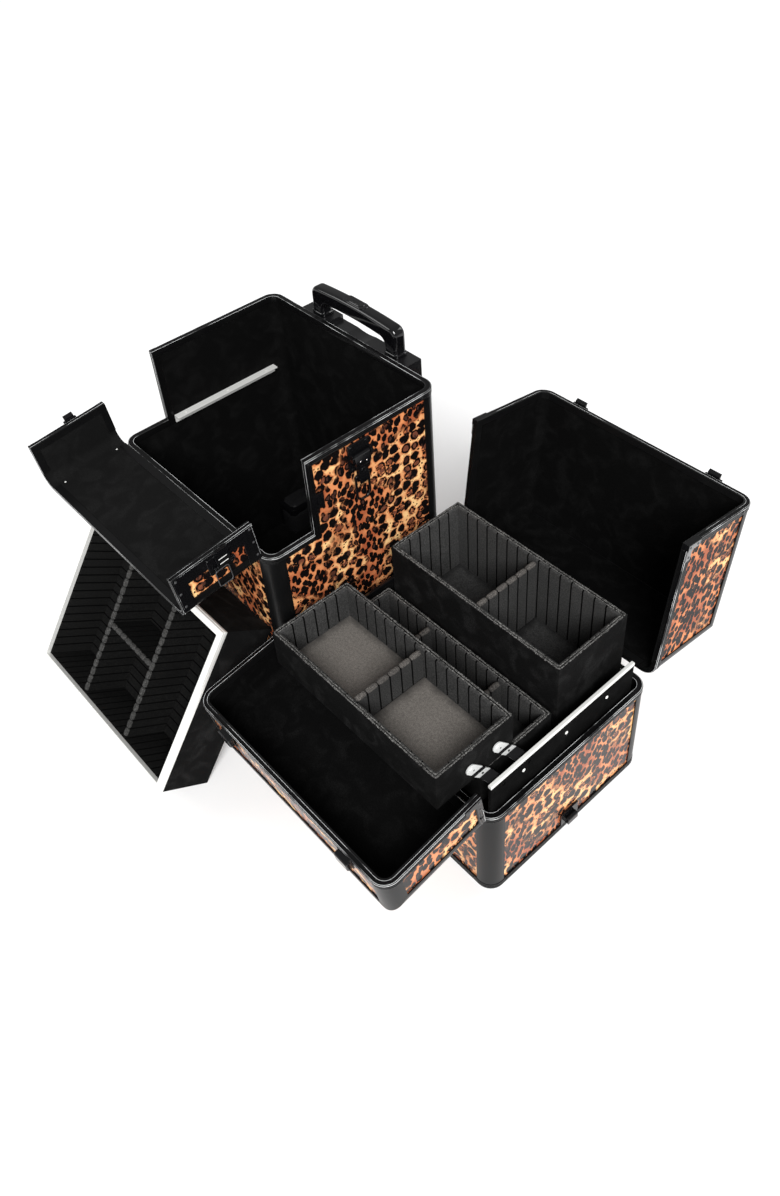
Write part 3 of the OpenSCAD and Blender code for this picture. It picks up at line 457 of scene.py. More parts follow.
class Piece:
    """A mesh that grows in millimetres of a body's frame, then becomes one object."""

    def __init__(self):
        self.bm = bmesh.new()

    def faces(self, rings, close_ring=True, close_path=False, caps=True, painted_faces=(), rows=()):
        """Skins a list of rings of points.

        The listed ring edges and the steps between rings listed in rows take the second material, a
        painted highlight or painted shade.
        """
        made = [[self.bm.verts.new(p) for p in ring] for ring in rings]
        pairs = list(zip(made, made[1:]))
        if close_path:
            pairs.append((made[-1], made[0]))
        for row, (a, b) in enumerate(pairs):
            last = len(a) if close_ring else len(a) - 1
            for i in range(last):
                j = (i + 1) % len(a)
                face = self.bm.faces.new((a[i], a[j], b[j], b[i]))
                face.material_index = int(i in painted_faces or row in rows)
        if caps and close_ring and not close_path:
            self.bm.faces.new(made[0][::-1])
            self.bm.faces.new(made[-1])
        return self

    def prism(self, outline, w0, w1, plane="xy"):
        """A flat outline pushed from height w0 to w1."""
        return self.faces([[spot(plane, u, v, w) for u, v in outline] for w in (w0, w1)])

    def round_plate(self, centre, size, radius, w0, w1, plane="xy", edge=0.6):
        """A plate with rounded corners and softened edges."""
        rings = []
        for inset, w in ((edge, w0), (0, w0 + edge), (0, w1 - edge), (edge, w1)):
            hu, hv = size[0] / 2 - inset, size[1] / 2 - inset
            cu, cv = centre
            corners = rectangle(cu - hu, cu + hu, cv - hv, cv + hv)
            outline = arc_corners(corners, max(radius - inset, 0.05), 5, True)
            rings.append([spot(plane, p.x, p.y, w) for p in outline])
        return self.faces(rings)

    def lathe(self, profile, origin, axis="z", steps=32):
        """Turns a profile of (radius, height) about an axis through origin."""
        plane = {"z": "xy", "y": "xz", "x": "yz"}[axis]
        rings = []
        for radius, height in profile:
            ring = []
            for k in range(steps):
                a = 2 * math.pi * k / steps
                p = Vector(spot(plane, radius * math.cos(a), radius * math.sin(a), height))
                ring.append(Vector(origin) + p)
            rings.append(ring)
        return self.faces(rings)

    def rod(self, origin, radius, length, axis="z", edge=0.5, steps=24):
        """A round bar with broken edges."""
        ends = ((radius - edge, 0), (radius, edge))
        profile = ends + tuple((r, length - h) for r, h in ends[::-1])
        return self.lathe(profile, origin, axis, steps)

    def band(self, path, section, plane="xy", base=0.0, side=1, closed=False, painted_faces=()):
        """Sweeps a section of (outward, up) along a flat path, mitred at its corners."""
        count = len(path)
        rings = []
        for i, p in enumerate(path):
            p = Vector(p[:2])
            before = path[(i - 1) % count] if closed or i > 0 else None
            after = path[(i + 1) % count] if closed or i < count - 1 else None
            ins = (p - Vector(before[:2])).normalized() if before is not None else None
            outs = (Vector(after[:2]) - p).normalized() if after is not None else None
            ins, outs = ins or outs, outs or ins
            middle = (ins + outs).normalized()
            stretch = 1 / max(middle.dot(ins), 0.3)
            normal = Vector((middle.y, -middle.x)) * side * stretch
            rings.append([spot(plane, *(p + normal * o), base + u) for o, u in section])
        return self.faces(rings, close_path=closed, painted_faces=painted_faces)

    def tube(self, points, radius, steps=10, closed=False, rough=0.0, seed=0):
        """A round tube along a path; rough makes it irregular, like lint or stitching."""
        points = [Vector(p) for p in points]
        count = len(points)
        rings = []
        side = None
        for i, p in enumerate(points):
            a = points[(i - 1) % count] if closed or i > 0 else p
            b = points[(i + 1) % count] if closed or i < count - 1 else p
            along = (b - a).normalized()
            if side is None:
                side = along.orthogonal().normalized()
            side = (side - along * side.dot(along)).normalized()
            up = along.cross(side)
            ring = []
            for k in range(steps):
                turn = 2 * math.pi * k / steps
                r = radius * (1 + rough * noise.noise(p * 0.9 + Vector((seed, k * 1.7, 0))))
                ring.append(p + (side * math.cos(turn) + up * math.sin(turn)) * r)
            rings.append(ring)
        return self.faces(rings, close_path=closed)

    def make(self, name, body, material, slot, replaces=(), round_mm=0.0, weld=True, second=None):
        """The finished object, riding on its body; second is the material of the listed faces, a
        painted highlight or painted shade.
        """
        if weld:
            bmesh.ops.remove_doubles(self.bm, verts=self.bm.verts, dist=SAME_POINT)
        self.bm.transform(PLACE[body])
        bmesh.ops.recalc_face_normals(self.bm, faces=self.bm.faces)
        mesh = bpy.data.meshes.new(name)
        self.bm.to_mesh(mesh)
        self.bm.free()
        for used in filter(None, (material, second)):
            mesh.materials.append(used)
        thing = bpy.data.objects.new(name, mesh)
        bpy.context.scene.collection.objects.link(thing)
        if round_mm:
            soften = thing.modifiers.new("edges", "BEVEL")
            soften.width = round_mm * MM
            soften.segments = 3 if round_mm > 2 else 2
            soften.limit_method = "ANGLE"
            soften.angle_limit = ROUNDED_FROM
            soften.harden_normals = True
        mesh.polygons.foreach_set("use_smooth", [True] * len(mesh.polygons))
        mesh.set_sharp_from_angle(angle=SHARP_FROM)
        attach(thing, body)
        if replaces:
            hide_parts(*replaces)
        return thing

    def make_foam(self, name, body, material, replaces=(), second=None):
        """The same for a foam piece, which keeps its close points apart."""
        thing = self.make(name, body, material, "foam", replaces, weld=False, second=second)

    def make_edge(self, name, body, second=RIDGE_HIGHLIGHT):
        """The same for black edge profiles, with a painted highlight along their listed edges."""
        self.make(name, body, PROFILE, "black_profile", second=second)


# ---------- ridged edge profiles ----------
def ridged_section(width=RIM_W, height=RIM_H, ridges=3, proud=0.7, skin=0.04, bead=0.14):
    """An edge profile: ridges down the outer face and a bead along each top edge.

    Returns the section's points and the numbers of the edges that take a painted highlight.
    """
    section = [(-width - skin, -skin), (skin, -skin)]
    bright = []
    pitch = height / ridges
    for i in range(ridges):
        for t in (0.12, 0.3, 0.5, 0.7, 0.88):
            section.append((skin + proud * math.sin(math.pi * t), (i + t) * pitch))
    bright.append(len(section) - 3)
    for t in (0.04, 0.10, 0.20):
        section.append((-width * t, height + skin + bead * math.sin(math.pi * (t / 0.24))))
    bright.append(len(section) - 3)
    section.append((-width * 0.27, height + skin))
    section.append((-width * 0.73, height + skin))
    for t in (0.8, 0.9, 0.96):
        section.append((-width * t, height + skin + bead * math.sin(math.pi * ((1 - t) / 0.24))))
    bright.append(len(section) - 2)
    section.append((-width - skin, height - 0.6))
    return section, bright


RIDGED, BRIGHT = ridged_section()
FLIPPED = [(o, RIM_H - u) for o, u in RIDGED]
SLIM = ridged_section(POST_T)[0]
SLIM_FLIPPED = [(o, RIM_H - u) for o, u in SLIM]


def plan_path(inset=0.0, start_y=None, front=True):
    """The case's rounded outline; with start_y, the open part in front of or behind it."""
    w, d, r = HALF_W - inset, HALF_D - inset, CORNER_R - inset
    if start_y is None:
        return arc_corners(rectangle(-w, w, -d, d), r, 8, True)
    y = -d if front else d
    ends = ((-w, start_y), (-w, y), (w, y), (w, start_y))
    return arc_corners(ends if front else ends[::-1], r)


def arch_path(bottom, inset=0.0):
    """The free edge of the lid or top flap: up one side, over and down the other."""
    w, top, r = HALF_W - inset, HOOD_TOP - inset, CORNER_R - inset
    return arc_corners(((w, bottom), (w, top), (-w, top), (-w, bottom)), r)


def case_rims():
    """Ridges round both cases: the rims, the base edges and the posts beside the lower flap."""
    upper = Piece().band(plan_path(), RIDGED, base=UPPER_H - RIM_H, closed=True, painted_faces=BRIGHT)
    upper.make_edge("upper_rim_ridges", "upper_case")
    base = Piece().band(plan_path(), FLIPPED, base=0, closed=True, painted_faces=BRIGHT[:1])
    base.make_edge("upper_base_ridges", "upper_case")
    lower = Piece()
    for front, top in ((False, LOWER_H), (True, FLAP_LINE)):
        lower.band(plan_path(start_y=SPLIT_Y, front=front), RIDGED, base=top - RIM_H, painted_faces=BRIGHT)
    for side in (-1, 1):
        post = [(RIM_H - u, side * (HALF_W + o)) for o, u in SLIM]
        lower.band([(SPLIT_Y, FLAP_LINE - 2), (SPLIT_Y, LOWER_H)], post, "yz", painted_faces=BRIGHT[1:])
    lower.make_edge("lower_rim_ridges", "lower_case")
    housing_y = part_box("wheel_housings")[0].y / MM - LOWER.translation.y / MM
    foot = Piece().band(plan_path(start_y=housing_y - 0.5, front=True), FLIPPED, base=UNDER)
    foot.make_edge("lower_base_ridges", "lower_case", None)


def hood_rims(name, body, sign):
    """Ridges of the lid (sign 1, wall at the back) or top flap (sign -1)."""
    split, low = SPLIT_Y + sign * GAP, UPPER_H + GAP
    edge = Piece()
    path = plan_path(start_y=split, front=sign < 0)
    edge.band(path, SLIM_FLIPPED, base=low, painted_faces=BRIGHT[:2])
    arch = [(o, sign * (RIM_H - u)) for o, u in SLIM]
    edge.band(arch_path(low), arch, "xz", split, painted_faces=BRIGHT)
    wall = sign * HALF_D
    seam = [(-(HALF_W - CORNER_R), wall), (HALF_W - CORNER_R, wall)]
    edge.band(seam, SLIM, base=HOOD_TOP - RIM_H, side=-sign, painted_faces=BRIGHT[:1])
    edge.make_edge(name, body)


def flap_rims():
    """Ridges of the lower flap, along its hinge side, its free edge and both ends."""
    low, high, edge = FLAP_LINE + GAP, LOWER_H - GAP, SPLIT_Y - GAP
    rims = Piece()
    path = plan_path(start_y=edge, front=True)
    rims.band(path, SLIM_FLIPPED, base=low, painted_faces=BRIGHT[:2])
    rims.band(path, SLIM, base=high - RIM_H, painted_faces=BRIGHT)
    for side in (-1, 1):
        post = [(u - RIM_H, side * (HALF_W + o)) for o, u in SLIM]
        rims.band([(edge, low), (edge, high)], post, "yz", painted_faces=BRIGHT)
    rims.make_edge("lower_flap_ridges", "lower_flap")


# ---------- velvet linings of the hinged halves ----------
def hood_lining(name, body, sign):
    """The lining of the lid or the top flap, one rounded shell: its outer and inner face."""
    split = SPLIT_Y + sign * (GAP + 0.6)
    lining = Piece()
    shells = []
    for t in (LINING_AT, LINING_AT + LINING_T):
        w, r, depth = HALF_W - t, CORNER_R - t, HALF_D - t
        arch = arch_path(UPPER_H + 1, t)
        stations = [(split, w)]
        for k in range(9):
            a = math.pi / 2 * k / 8
            stations.append((sign * (depth - r + r * math.sin(a)), w - r + r * math.cos(a)))
        shells.append([[(max(-limit, min(limit, p.x)), y, p.y) for p in arch]
                       for y, limit in stations])
    outer, inner = shells
    for rings in shells:
        lining.faces(rings, close_ring=False)
        last = rings[-1]
        half = len(last) // 2
        left, right = last[:half], last[half:][::-1]
        lining.faces([left, right[:len(left)]], close_ring=False)
    lining.faces([outer[0], inner[0]], close_ring=False)
    for index in (0, -1):
        lining.faces([[r[index] for r in outer], [r[index] for r in inner]], close_ring=False)
    lining.faces([[outer[-1][0], outer[-1][-1]], [inner[-1][0], inner[-1][-1]]], close_ring=False)
    lining.make(name, body, VELVET, "velvet")


def flap_lining():
    """The lower flap's lining, one band round its three inner sides."""
    high = LOWER_H - FLAP_LINE - 2
    section = [(0, 0), (0, high), (-LINING_T, high), (-LINING_T, 0)]
    lining = Piece().band(plan_path(LINING_AT, SPLIT_Y - 1.2), section, base=FLAP_LINE + 1)
    lining.make("lower_flap_lining", "lower_flap", FLAP_VELVET, "velvet")


# ---------- rivets and corner plates ----------
def rivet(piece, at, axis, out, radius=2.4, high=1.1):
    """A domed rivet head that stands out along an axis."""
    profile = [(radius, 0), (radius * 0.92, 0.45 * high), (radius * 0.6, 0.85 * high), (0.15, high)]
    piece.lathe([(r, out * h) for r, h in profile], at, axis, 14)


def wall_rivet(piece, side, y, z, lift=0.4, radius=2.4, high=1.1):
    """A rivet on the outside of an end wall, lift above it."""
    rivet(piece, (side * (HALF_W + lift), y, z), "x", side, radius, high)


def corner_rivets():
    """Rivets that pin each end of the edge profiles, on the long and short walls."""
    x_end, y_end = HALF_W - CORNER_R - LEG - 5, HALF_D - CORNER_R - LEG - 5
    for body, levels, ends in (("upper_case", (RIM_H / 2, UPPER_H - RIM_H / 2), (-1, 1)),
                               ("lower_case", (UNDER + RIM_H / 2,), (-1,))):
        heads = Piece()
        for z in levels:
            for side in (-1, 1):
                for end in ends:
                    wall_rivet(heads, side, end * y_end, z)
                    rivet(heads, (side * x_end, end * (HALF_D + 0.4), z), "y", end)
        if body == "lower_case":
            for side in (-1, 1):
                for y, z in ((SPLIT_Y + 5, LOWER_H), (y_end, LOWER_H), (-y_end, FLAP_LINE),
                             (SPLIT_Y - 6, FLAP_LINE)):
                    wall_rivet(heads, side, y, z - 5)
        heads.make(body + "_rivets", body, LATCH, "black_steel")
    for body, sign in (("lid", 1), ("top_flap", -1)):
        heads = Piece()
        split, low = SPLIT_Y + sign * 5, UPPER_H + 5.5
        for side in (-1, 1):
            for y, z in ((split, low), (sign * y_end, low), (split, HOOD_TOP - CORNER_R - 8)):
                wall_rivet(heads, side, y, z)
        heads.make(body + "_rivets", body, LATCH, "black_steel")


def corner_plates():
    """Riveted plates that brace the free corners of the lid's and the top flap's wings."""
    leg, wide = 24, 9
    outline = ((0, 0), (leg, 0), (leg + 1, 2), (leg, wide - 1), (leg - 2, wide), (wide + 3, wide),
               (wide, wide + 3), (wide, leg - 2), (wide - 1, leg), (2, leg + 1), (0, leg))
    for body, metal, way in (("top_flap", LATCH, -1), ("lid", NICKEL, 1)):
        plates, heads = Piece(), Piece()
        y, z = SPLIT_Y + way * 0.6, UPPER_H + 0.7
        for side in (-1, 1):
            plates.prism([(y + way * u, z + v) for u, v in outline],
                         side * (HALF_W - 1), side * (HALF_W + 1.6), "yz")
            for u, v in ((4.5, 4.5), (19, 4.5), (4.5, 19)):
                wall_rivet(heads, side, y + way * u, z + v, 1.5, 1.9, 0.9)
        plates.make(body + "_corner_plates", body, metal, "black_steel", round_mm=0.5)
        heads.make(body + "_corner_rivets", body, PLATE_RIVET, "black_steel")
    cap = Piece()
    y, z, thick = SPLIT_Y + 0.25, UPPER_H + 0.28, 1.6
    angle = ((y, z), (y + 9, z), (y + 9, z + thick), (y + thick, z + thick), (y + thick, z + 26),
             (y, z + 26))
    for side in (-1, 1):
        cap.prism(angle, side * (HALF_W - 7.5), side * (HALF_W + 1.8), "yz")
    cap.make("lid_corner_caps", "lid", LATCH, "black_steel", round_mm=0.4)


def edge_covers():
    """The lower flap's wings: black covers round three sides of the printed window."""
    covers, heads = Piece(), Piece()
    low, high, reach, leg, band = FLAP_LINE + 0.7, LOWER_H - 0.5, 58, 18, 20
    outline = ((0, low), (0, high), (reach, high), (reach, high - leg), (band, high - leg),
               (band, low + leg), (reach, low + leg), (reach, low))
    for side in (-1, 1):
        covers.prism([(SPLIT_Y - 0.6 - u, z) for u, z in outline],
                     side * (HALF_W - 1), side * (HALF_W + 0.7), "yz")
        for z in (low + 5, high - 5):
            for u in (6, 28, 50):
                wall_rivet(heads, side, SPLIT_Y - u, z, 0.6, 1.9, 0.9)
    covers.make("lower_flap_edge_covers", "lower_flap", LATCH, "black_steel", round_mm=0.5)
    heads.make("lower_flap_cover_rivets", "lower_flap", PLATE_RIVET, "black_steel")


# ---------- foam trays ----------
GROOVE_PITCH = 19
FINE_PITCH = 13.5


def notched(length, pitch, width=2.3, depth=4.0):
    """(along, into the wall) points of a wall cut by evenly spaced grooves."""
    count = max(2, round(length / pitch))
    step = length / count
    points = [(0, 0)]
    for i in range(1, count):
        s = i * step
        points += [(s - width / 2, 0), (s - width * 0.35, depth),
                   (s + width * 0.35, depth), (s + width / 2, 0)]
    return points + [(length, 0)]


def groove_faces(pattern):
    """Numbers of the steps that lie inside the grooves of a notched pattern; they take near-black
    foam, painted shade in the grooves.
    """
    return {i for i in range(len(pattern) - 1) if pattern[i][1] or pattern[i + 1][1]}


def foam_walls(piece, low, high, thick, pitch):
    """Four grooved walls round a rectangular well, rounded over at the top."""
    (x0, y0, z0), (x1, y1, z1) = low, high
    sides = (
        ((x0, y0), (1, 0), (0, -1), x1 - x0), ((x1, y0), (0, 1), (1, 0), y1 - y0),
        ((x1, y1), (-1, 0), (0, 1), x1 - x0), ((x0, y1), (0, -1), (-1, 0), y1 - y0),
    )
    levels = ((0, z0), (0, z1 - 2.2), (0.5, z1 - 0.8), (1.6, z1), (thick - 0.6, z1),
              (thick, z1 - 1.5), (thick, z0))
    for start, along, out, length in sides:
        start, along, out = Vector(start), Vector(along), Vector(out)
        rings = []
        pattern = notched(length, pitch)
        for s, deep in pattern:
            ring = []
            for offset, z in levels:
                d = min(offset + deep, thick - 0.6) if offset < thick - 1 else offset
                t = s - d if s == 0 else s + d if s == length else s
                ring.append((*(start + along * t + out * d), z))
            rings.append(ring)
        piece.faces(rings, rows=groove_faces(pattern))


def divider(foam, rolls, start, end, z0, z1, pitch, thick=7.0):
    """A grooved foam divider with a rolled top edge, ribbed like the wall below it."""
    start, end = Vector(start), Vector(end)
    length = (end - start).length
    along = (end - start).normalized()
    side = Vector((along.y, -along.x))
    rings = []
    pattern = notched(length, pitch)
    for s, deep in pattern:
        half = thick / 2 - deep * 0.55
        base = start + along * s
        outline = ((half, z0), (half, z1 - 3.4), (-half, z1 - 3.4), (-half, z0))
        rings.append([(*(base + side * o), z) for o, z in outline])
    foam.faces(rings, rows=groove_faces(pattern))
    count = max(2, round(length / pitch))
    for i in range(count):
        s0, s1 = (i + 0.045) * length / count, (i + 0.955) * length / count
        rings = []
        for t in (0, 0.04, 0.1, 0.2, 0.35, 0.5, 0.65, 0.8, 0.9, 0.96, 1):
            s = s0 + (s1 - s0) * t
            swell = noise.noise(Vector((s * 0.25, start.x, start.y)))
            size = 1.04 - 0.42 * abs(2 * t - 1) ** 6 + 0.08 * swell
            base = start + along * s
            ring = []
            for k in range(11):
                a = math.pi * k / 10
                o = (thick / 2 + 0.3) * size * math.cos(a)
                ring.append((*(base + side * o), z1 - 3.6 + 3.8 * size * math.sin(a)))
            rings.append(ring)
        rolls.faces(rings)


def wavy_rectangle(x0, x1, y0, y1, z, step=3.0):
    """A rounded rectangle whose line wanders a little, like a cut cloth edge."""
    corners = arc_corners(rectangle(x0, x1, y0, y1), 2.5, 3, True)
    points = []
    for a, b in zip(corners, corners[1:] + corners[:1]):
        count = max(1, int((b - a).length / step))
        points += [a + (b - a) * k / count for k in range(count)]
    return [(p.x + 0.35 * noise.noise(Vector((p.x, p.y, 1)) * 0.35),
             p.y + 0.35 * noise.noise(Vector((p.x, p.y, 7)) * 0.35),
             z + 0.45 * noise.noise(Vector((p.x, p.y, 3)) * 0.3)) for p in points]


def foam_tray(name, body, low, high, shell, wall, nodes_out, dividers, floor, ribbed=False):
    """Liner, dividers and fuzzy rim of a tray whose outer box is given."""
    # the divider rolls take the lighter foam: painted highlight on their tops
    walls_foam, top_highlight_foam, pitch = FOAM, TOP_HIGHLIGHT_FOAM, GROOVE_PITCH
    if ribbed:
        walls_foam, top_highlight_foam, pitch = FOAM_BLACK, BLACK_TOP_HIGHLIGHT_FOAM, FINE_PITCH
    (x0, y0, z0), (x1, y1, z1) = low, high
    inset = shell + wall + 0.1
    well_low = (x0 + inset, y0 + inset, z0 + shell + 3)
    well_high = (x1 - inset, y1 - inset, z1 - 0.6)
    foam = Piece()
    foam_walls(foam, well_low, well_high, wall, pitch)
    # faces inside the grooves take the near-black second foam: painted shade
    foam.make_foam(name + "_foam_walls", body, walls_foam, nodes_out[:1], GROOVE_SHADE)
    # the floor reaches a little under the walls, in one ribbed pad or one pad to each well
    under = 2
    fx0, fy0, fx1, fy1 = (well_low[0] - under, well_low[1] - under,
                          well_high[0] + under, well_high[1] + under)
    bottom, top = z0 + shell + 0.2, well_low[2]
    if ribbed:
        pattern = notched(fy1 - fy0, pitch)
        outline = [(fy0 + s, top - deep) for s, deep in pattern] + [(fy1, bottom), (fy0, bottom)]
        base = Piece().faces([[(x, u, v) for u, v in outline] for x in (fx0, fx1)],
                             painted_faces=groove_faces(pattern))
        base.make_foam(name + "_foam_floor", body, floor, second=GROOVE_SHADE)
    else:
        gap = 3.4
        edges = [fx0 - gap] + [start[0] for start, end, high in dividers] + [fx1 + gap]
        for i, (a, b) in enumerate(zip(edges, edges[1:])):
            centre, size = ((a + b) / 2, (fy0 + fy1) / 2), (b - a - 2 * gap, fy1 - fy0)
            base = Piece().round_plate(centre, size, 2, bottom, top)
            base.make_foam(name + "_foam_floor_" + str(i + 1), body, floor)
    foam, rolls = Piece(), Piece()
    for start, end, high in dividers:
        divider(foam, rolls, start, end, top + 0.2, high, pitch)
    foam.make_foam(name + "_foam_dividers", body, walls_foam, nodes_out[1:], GROOVE_SHADE)
    rolls.make_foam(name + "_divider_rolls", body, top_highlight_foam)
    lint = Piece()
    for gap, radius in ((shell * 0.5, 1.25), (shell + 1.6, 0.8)):
        path = wavy_rectangle(x0 + gap, x1 - gap, y0 + gap, y1 - gap, z1 - 0.3)
        lint.tube(path, radius, 7, True, 0.7, gap)
    lint.make(name + "_rim_lint", body, LINT, "foam")


TRAY_X = (-154, 140)
SHELL_T = 3
LINER_T = 5


def case_tray(name, body, y0, width, z0, height, divider_x, floor):
    """One of the upper case's three trays; divider_x says where its dividers stand."""
    x0, x1 = TRAY_X
    y1, z1 = y0 + width, z0 + height
    inset = SHELL_T + LINER_T + 0.4
    rows = [((x, y0 + inset), (x, y1 - inset), z1 - 3) for x in divider_x]
    parts = (name + "_liner", name + ("_dividers" if len(divider_x) > 1 else "_divider"))
    foam_tray(name, body, (x0, y0, z0), (x1, y1, z1), SHELL_T, LINER_T, parts, rows, floor)


def lift_tray():
    """The tray that leans on the lower case: fine-ribbed foam in a bright frame."""
    length, width, height = LIFT_SIZE
    frame_h, frame_w = 8, 10
    third = length / 3
    top = height - 9.5
    rows = [((x, 11), (x, width - 11), top) for x in (third, 2 * third)]
    rows.append(((third + 4.2, width / 2), (2 * third - 4.2, width / 2), top))
    foam_tray("lift_tray", "lift_tray", (0.9, 0, 0), (length - 0.9, width, height - frame_h - 0.4),
              shell=4, wall=6, nodes_out=("lift_tray_liner", "lift_tray_dividers"), dividers=rows,
              floor=FOAM_BLACK, ribbed=True)
    section = [(0, 0), (0, 2), (0.6, 2.4), (0.6, 4.6), (0, 5), (0, frame_h - 1), (-1, frame_h),
               (-4, frame_h), (-4.5, frame_h - 0.7), (-5.3, frame_h - 0.7), (-5.8, frame_h),
               (-frame_w + 1, frame_h), (-frame_w, frame_h - 1), (-frame_w, 0)]
    path = [Vector(p) for p in rectangle(0, length, 0, width)]
    rim = Piece().band(path, section, base=height - frame_h, closed=True)
    rim.make("lift_tray_rim", "lift_tray", SILVER, "silver", ("lift_tray_frame",), round_mm=0.5)


# ---------- swing arms ----------
def swing_arms():
    """Stamped arms with a joggle: flat beside the tray, then stepped out to the panel; the bends
    and the stretch to the panel are black, painted shade where shadow falls across the arms.
    """
    front_y, pivot_z, travel, reach, half, thick = -195, 234.5, 66, 52, 7, 0.9
    lean = math.acos(travel / 2 / reach)
    down = Vector((0, math.cos(lean), -math.sin(lean)))
    across = Vector((0, math.sin(lean), math.cos(lean)))
    level = 1 / math.tan(lean)
    # where along the arm its two bends start and end, and the first one's share of the step
    bend_1, flat_1, bend_2, flat_2, share = 15, 18.5, 31, 41, 0.18
    tips = [half * (1 - math.cos(math.pi / 2 * k / 8)) - half for k in range(9)]

    def ring(middle, s, x, slant=0.0):
        """The arm's cross-section s along it, at x; a slant of level keeps it horizontal."""
        past = max(0, half - min(s + half, reach + half - s))
        width = math.sqrt(max(0.02, half ** 2 - past ** 2)) if past else half
        made = []
        for o, side in ((width, -1), (width, 1), (-width, 1), (-width, -1)):
            p = middle + down * (s + slant * o) + across * o
            made.append((x + side * thick, p.y, p.z))
        return made

    for body, pivot, node in (("front_arms", 51, "front_swing_arms"),
                              ("rear_arms", 94, "rear_swing_arms")):
        plates, painted_shade_joggles, holes = Piece(), Piece(), Piece()
        top = Vector((0, front_y + pivot, pivot_z))
        for side, face, panel in ((1, TRAY_X[1], 159), (-1, TRAY_X[0], -159)):
            inner, outer = face + side * 2.2, panel - side * 3.2
            middle = inner + (outer - inner) * share
            plates.faces([ring(top, s, inner) for s in tips] + [ring(top, bend_1, inner, level)])
            plates.faces([ring(top, s, middle, level) for s in (flat_1, bend_2)])
            painted_shade_joggles.faces([ring(top, flat_2, outer, level)]
                          + [ring(top, reach - s, outer) for s in tips[::-1]])
            for s0, s1, x0, x1 in ((bend_1, flat_1, inner, middle),
                                   (bend_2, flat_2, middle, outer)):
                step = []
                for k in range(7):
                    t = k / 6
                    x = x0 + (x1 - x0) * t * t * (3 - 2 * t)
                    step.append(ring(top, s0 + (s1 - s0) * t, x, level))
                painted_shade_joggles.faces(step)
            for s, x0, x1 in ((0, face - side * 1.5, inner + side * 1.6),
                              (reach, outer - side * 1.6, panel + side * 2)):
                p = top + down * s
                plates.rod((min(x0, x1), p.y, p.z), 2.6, abs(x1 - x0), "x", 0.4, 20)
            for s, x, long, wide in ((7, inner, 1.2, 1.2), (25, middle, 2.6, 1.5)):
                p = top + down * s
                turns = [2 * math.pi * k / 16 for k in range(16)]
                path = [p + down * long * math.cos(a) + across * wide * math.sin(a) for a in turns]
                for way in (-1, 1):
                    holes.faces([[(x + way * h, q.y, q.z) for q in path] for h in (0.85, 1.02)])
        plates.make(body + "_stamped", body, ARM_STEEL, "steel", (node,), round_mm=0.3)
        # black nickel on the bends and the stretch to the panel: painted shade
        painted_shade_joggles.make(body + "_joggles", body, LATCH, "steel")
        holes.make(body + "_holes", body, BOARD, "black_plastic")


# ---------- latches ----------
def lock_face(piece, at, axis, out, radius=4.6):
    """A round lock barrel with a stepped rim."""
    profile = ((radius, 0), (radius, 1.0), (radius - 0.8, 1.5), (radius - 0.9, 0.9), (0.3, 0.9))
    piece.lathe([(r, out * h) for r, h in profile], at, axis, 20)


def wall_plate(piece, side, centre, size, radius, proud, edge):
    """A plate with rounded corners let into the outside of an end wall."""
    piece.round_plate(centre, size, radius, side * (HALF_W - 1.2), side * (HALF_W + proud), "yz",
                      edge)


def side_latches():
    """Draw latches on the end walls: pressed plate, curved lever and wire loop."""
    y, plate_z, lever_x, lever_z, loop_x, loop_z, loop_end = 8, 426, 179.5, 430, 177.8, 396, 356
    for side, name in SIDES:
        plate = Piece()
        wall_plate(plate, side, (y, plate_z), (33, 42), 4, 1.2, 0.4)
        for dy in (-12.5, 12.5):
            for dz in (-17, 17):
                wall_rivet(plate, side, y + dy, plate_z + dz, 1, 1.8, 0.9)
        for dy in (-14.6, 14.6):
            low = y + dy - 1.4
            plate.lathe(((4.6, 0), (4.6, 2.8)), (side * lever_x, low, lever_z), "y", 20)
        plate.make(name + "_side_latch_plate", "lower_case", LATCH, "black_steel")
        lever = Piece()
        shoulder = ((-1.4, 2.2), (1.4, 2.6), (2.9, 0.6), (3.2, -1.5), (5.2, -6), (5.2, -12),
                    (3.6, -17), (-2.4, -17))
        blade = ((3.0, -13), (2.6, -32), (4.6, -42), (3.8, -44), (1.2, -37), (-2.4, -36),
                 (-2.6, -13))
        for profile, half in ((shoulder, 12.3), (blade, 7.6)):
            outline = [(side * (lever_x + x), lever_z + dz) for x, dz in profile]
            lever.prism(outline, y - half, y + half, "xz")
        lever.rod((side * lever_x, y - 16.2, lever_z), 1.5, 32.4, "y", 0.3, 16)
        lock_face(lever, (side * (lever_x + 2.5), y, 406), "x", side, 3.6)
        lever.make(name + "_draw_lever", name + "_side_lever", LATCH, "black_steel",
                   (name + "_side_lever",), round_mm=0.6)
        studs = Piece()
        for dy, z in ((-5, lever_z - 7.5), (5, lever_z - 10.5)):
            rivet(studs, (side * (lever_x + 4.9), y + dy, z), "x", side, 1.3, 0.8)
        studs.make(name + "_draw_lever_studs", name + "_side_lever", CHROME, "steel")
        loop = Piece()
        half = 10.6
        x = side * loop_x
        corners = ((-half, loop_z), (-half, loop_end), (half, loop_end), (half, loop_z))
        path = arc_corners(corners, 9.5, 10) + arc_corners(corners[2:] + corners[:2], 3, 4)[1:-1]
        loop.tube([(x, y + p.x, p.y) for p in path], 1.7, 12, True)
        loop.make(name + "_wire_loop", name + "_side_loop", LATCH, "black_steel",
                  (name + "_side_loop",))


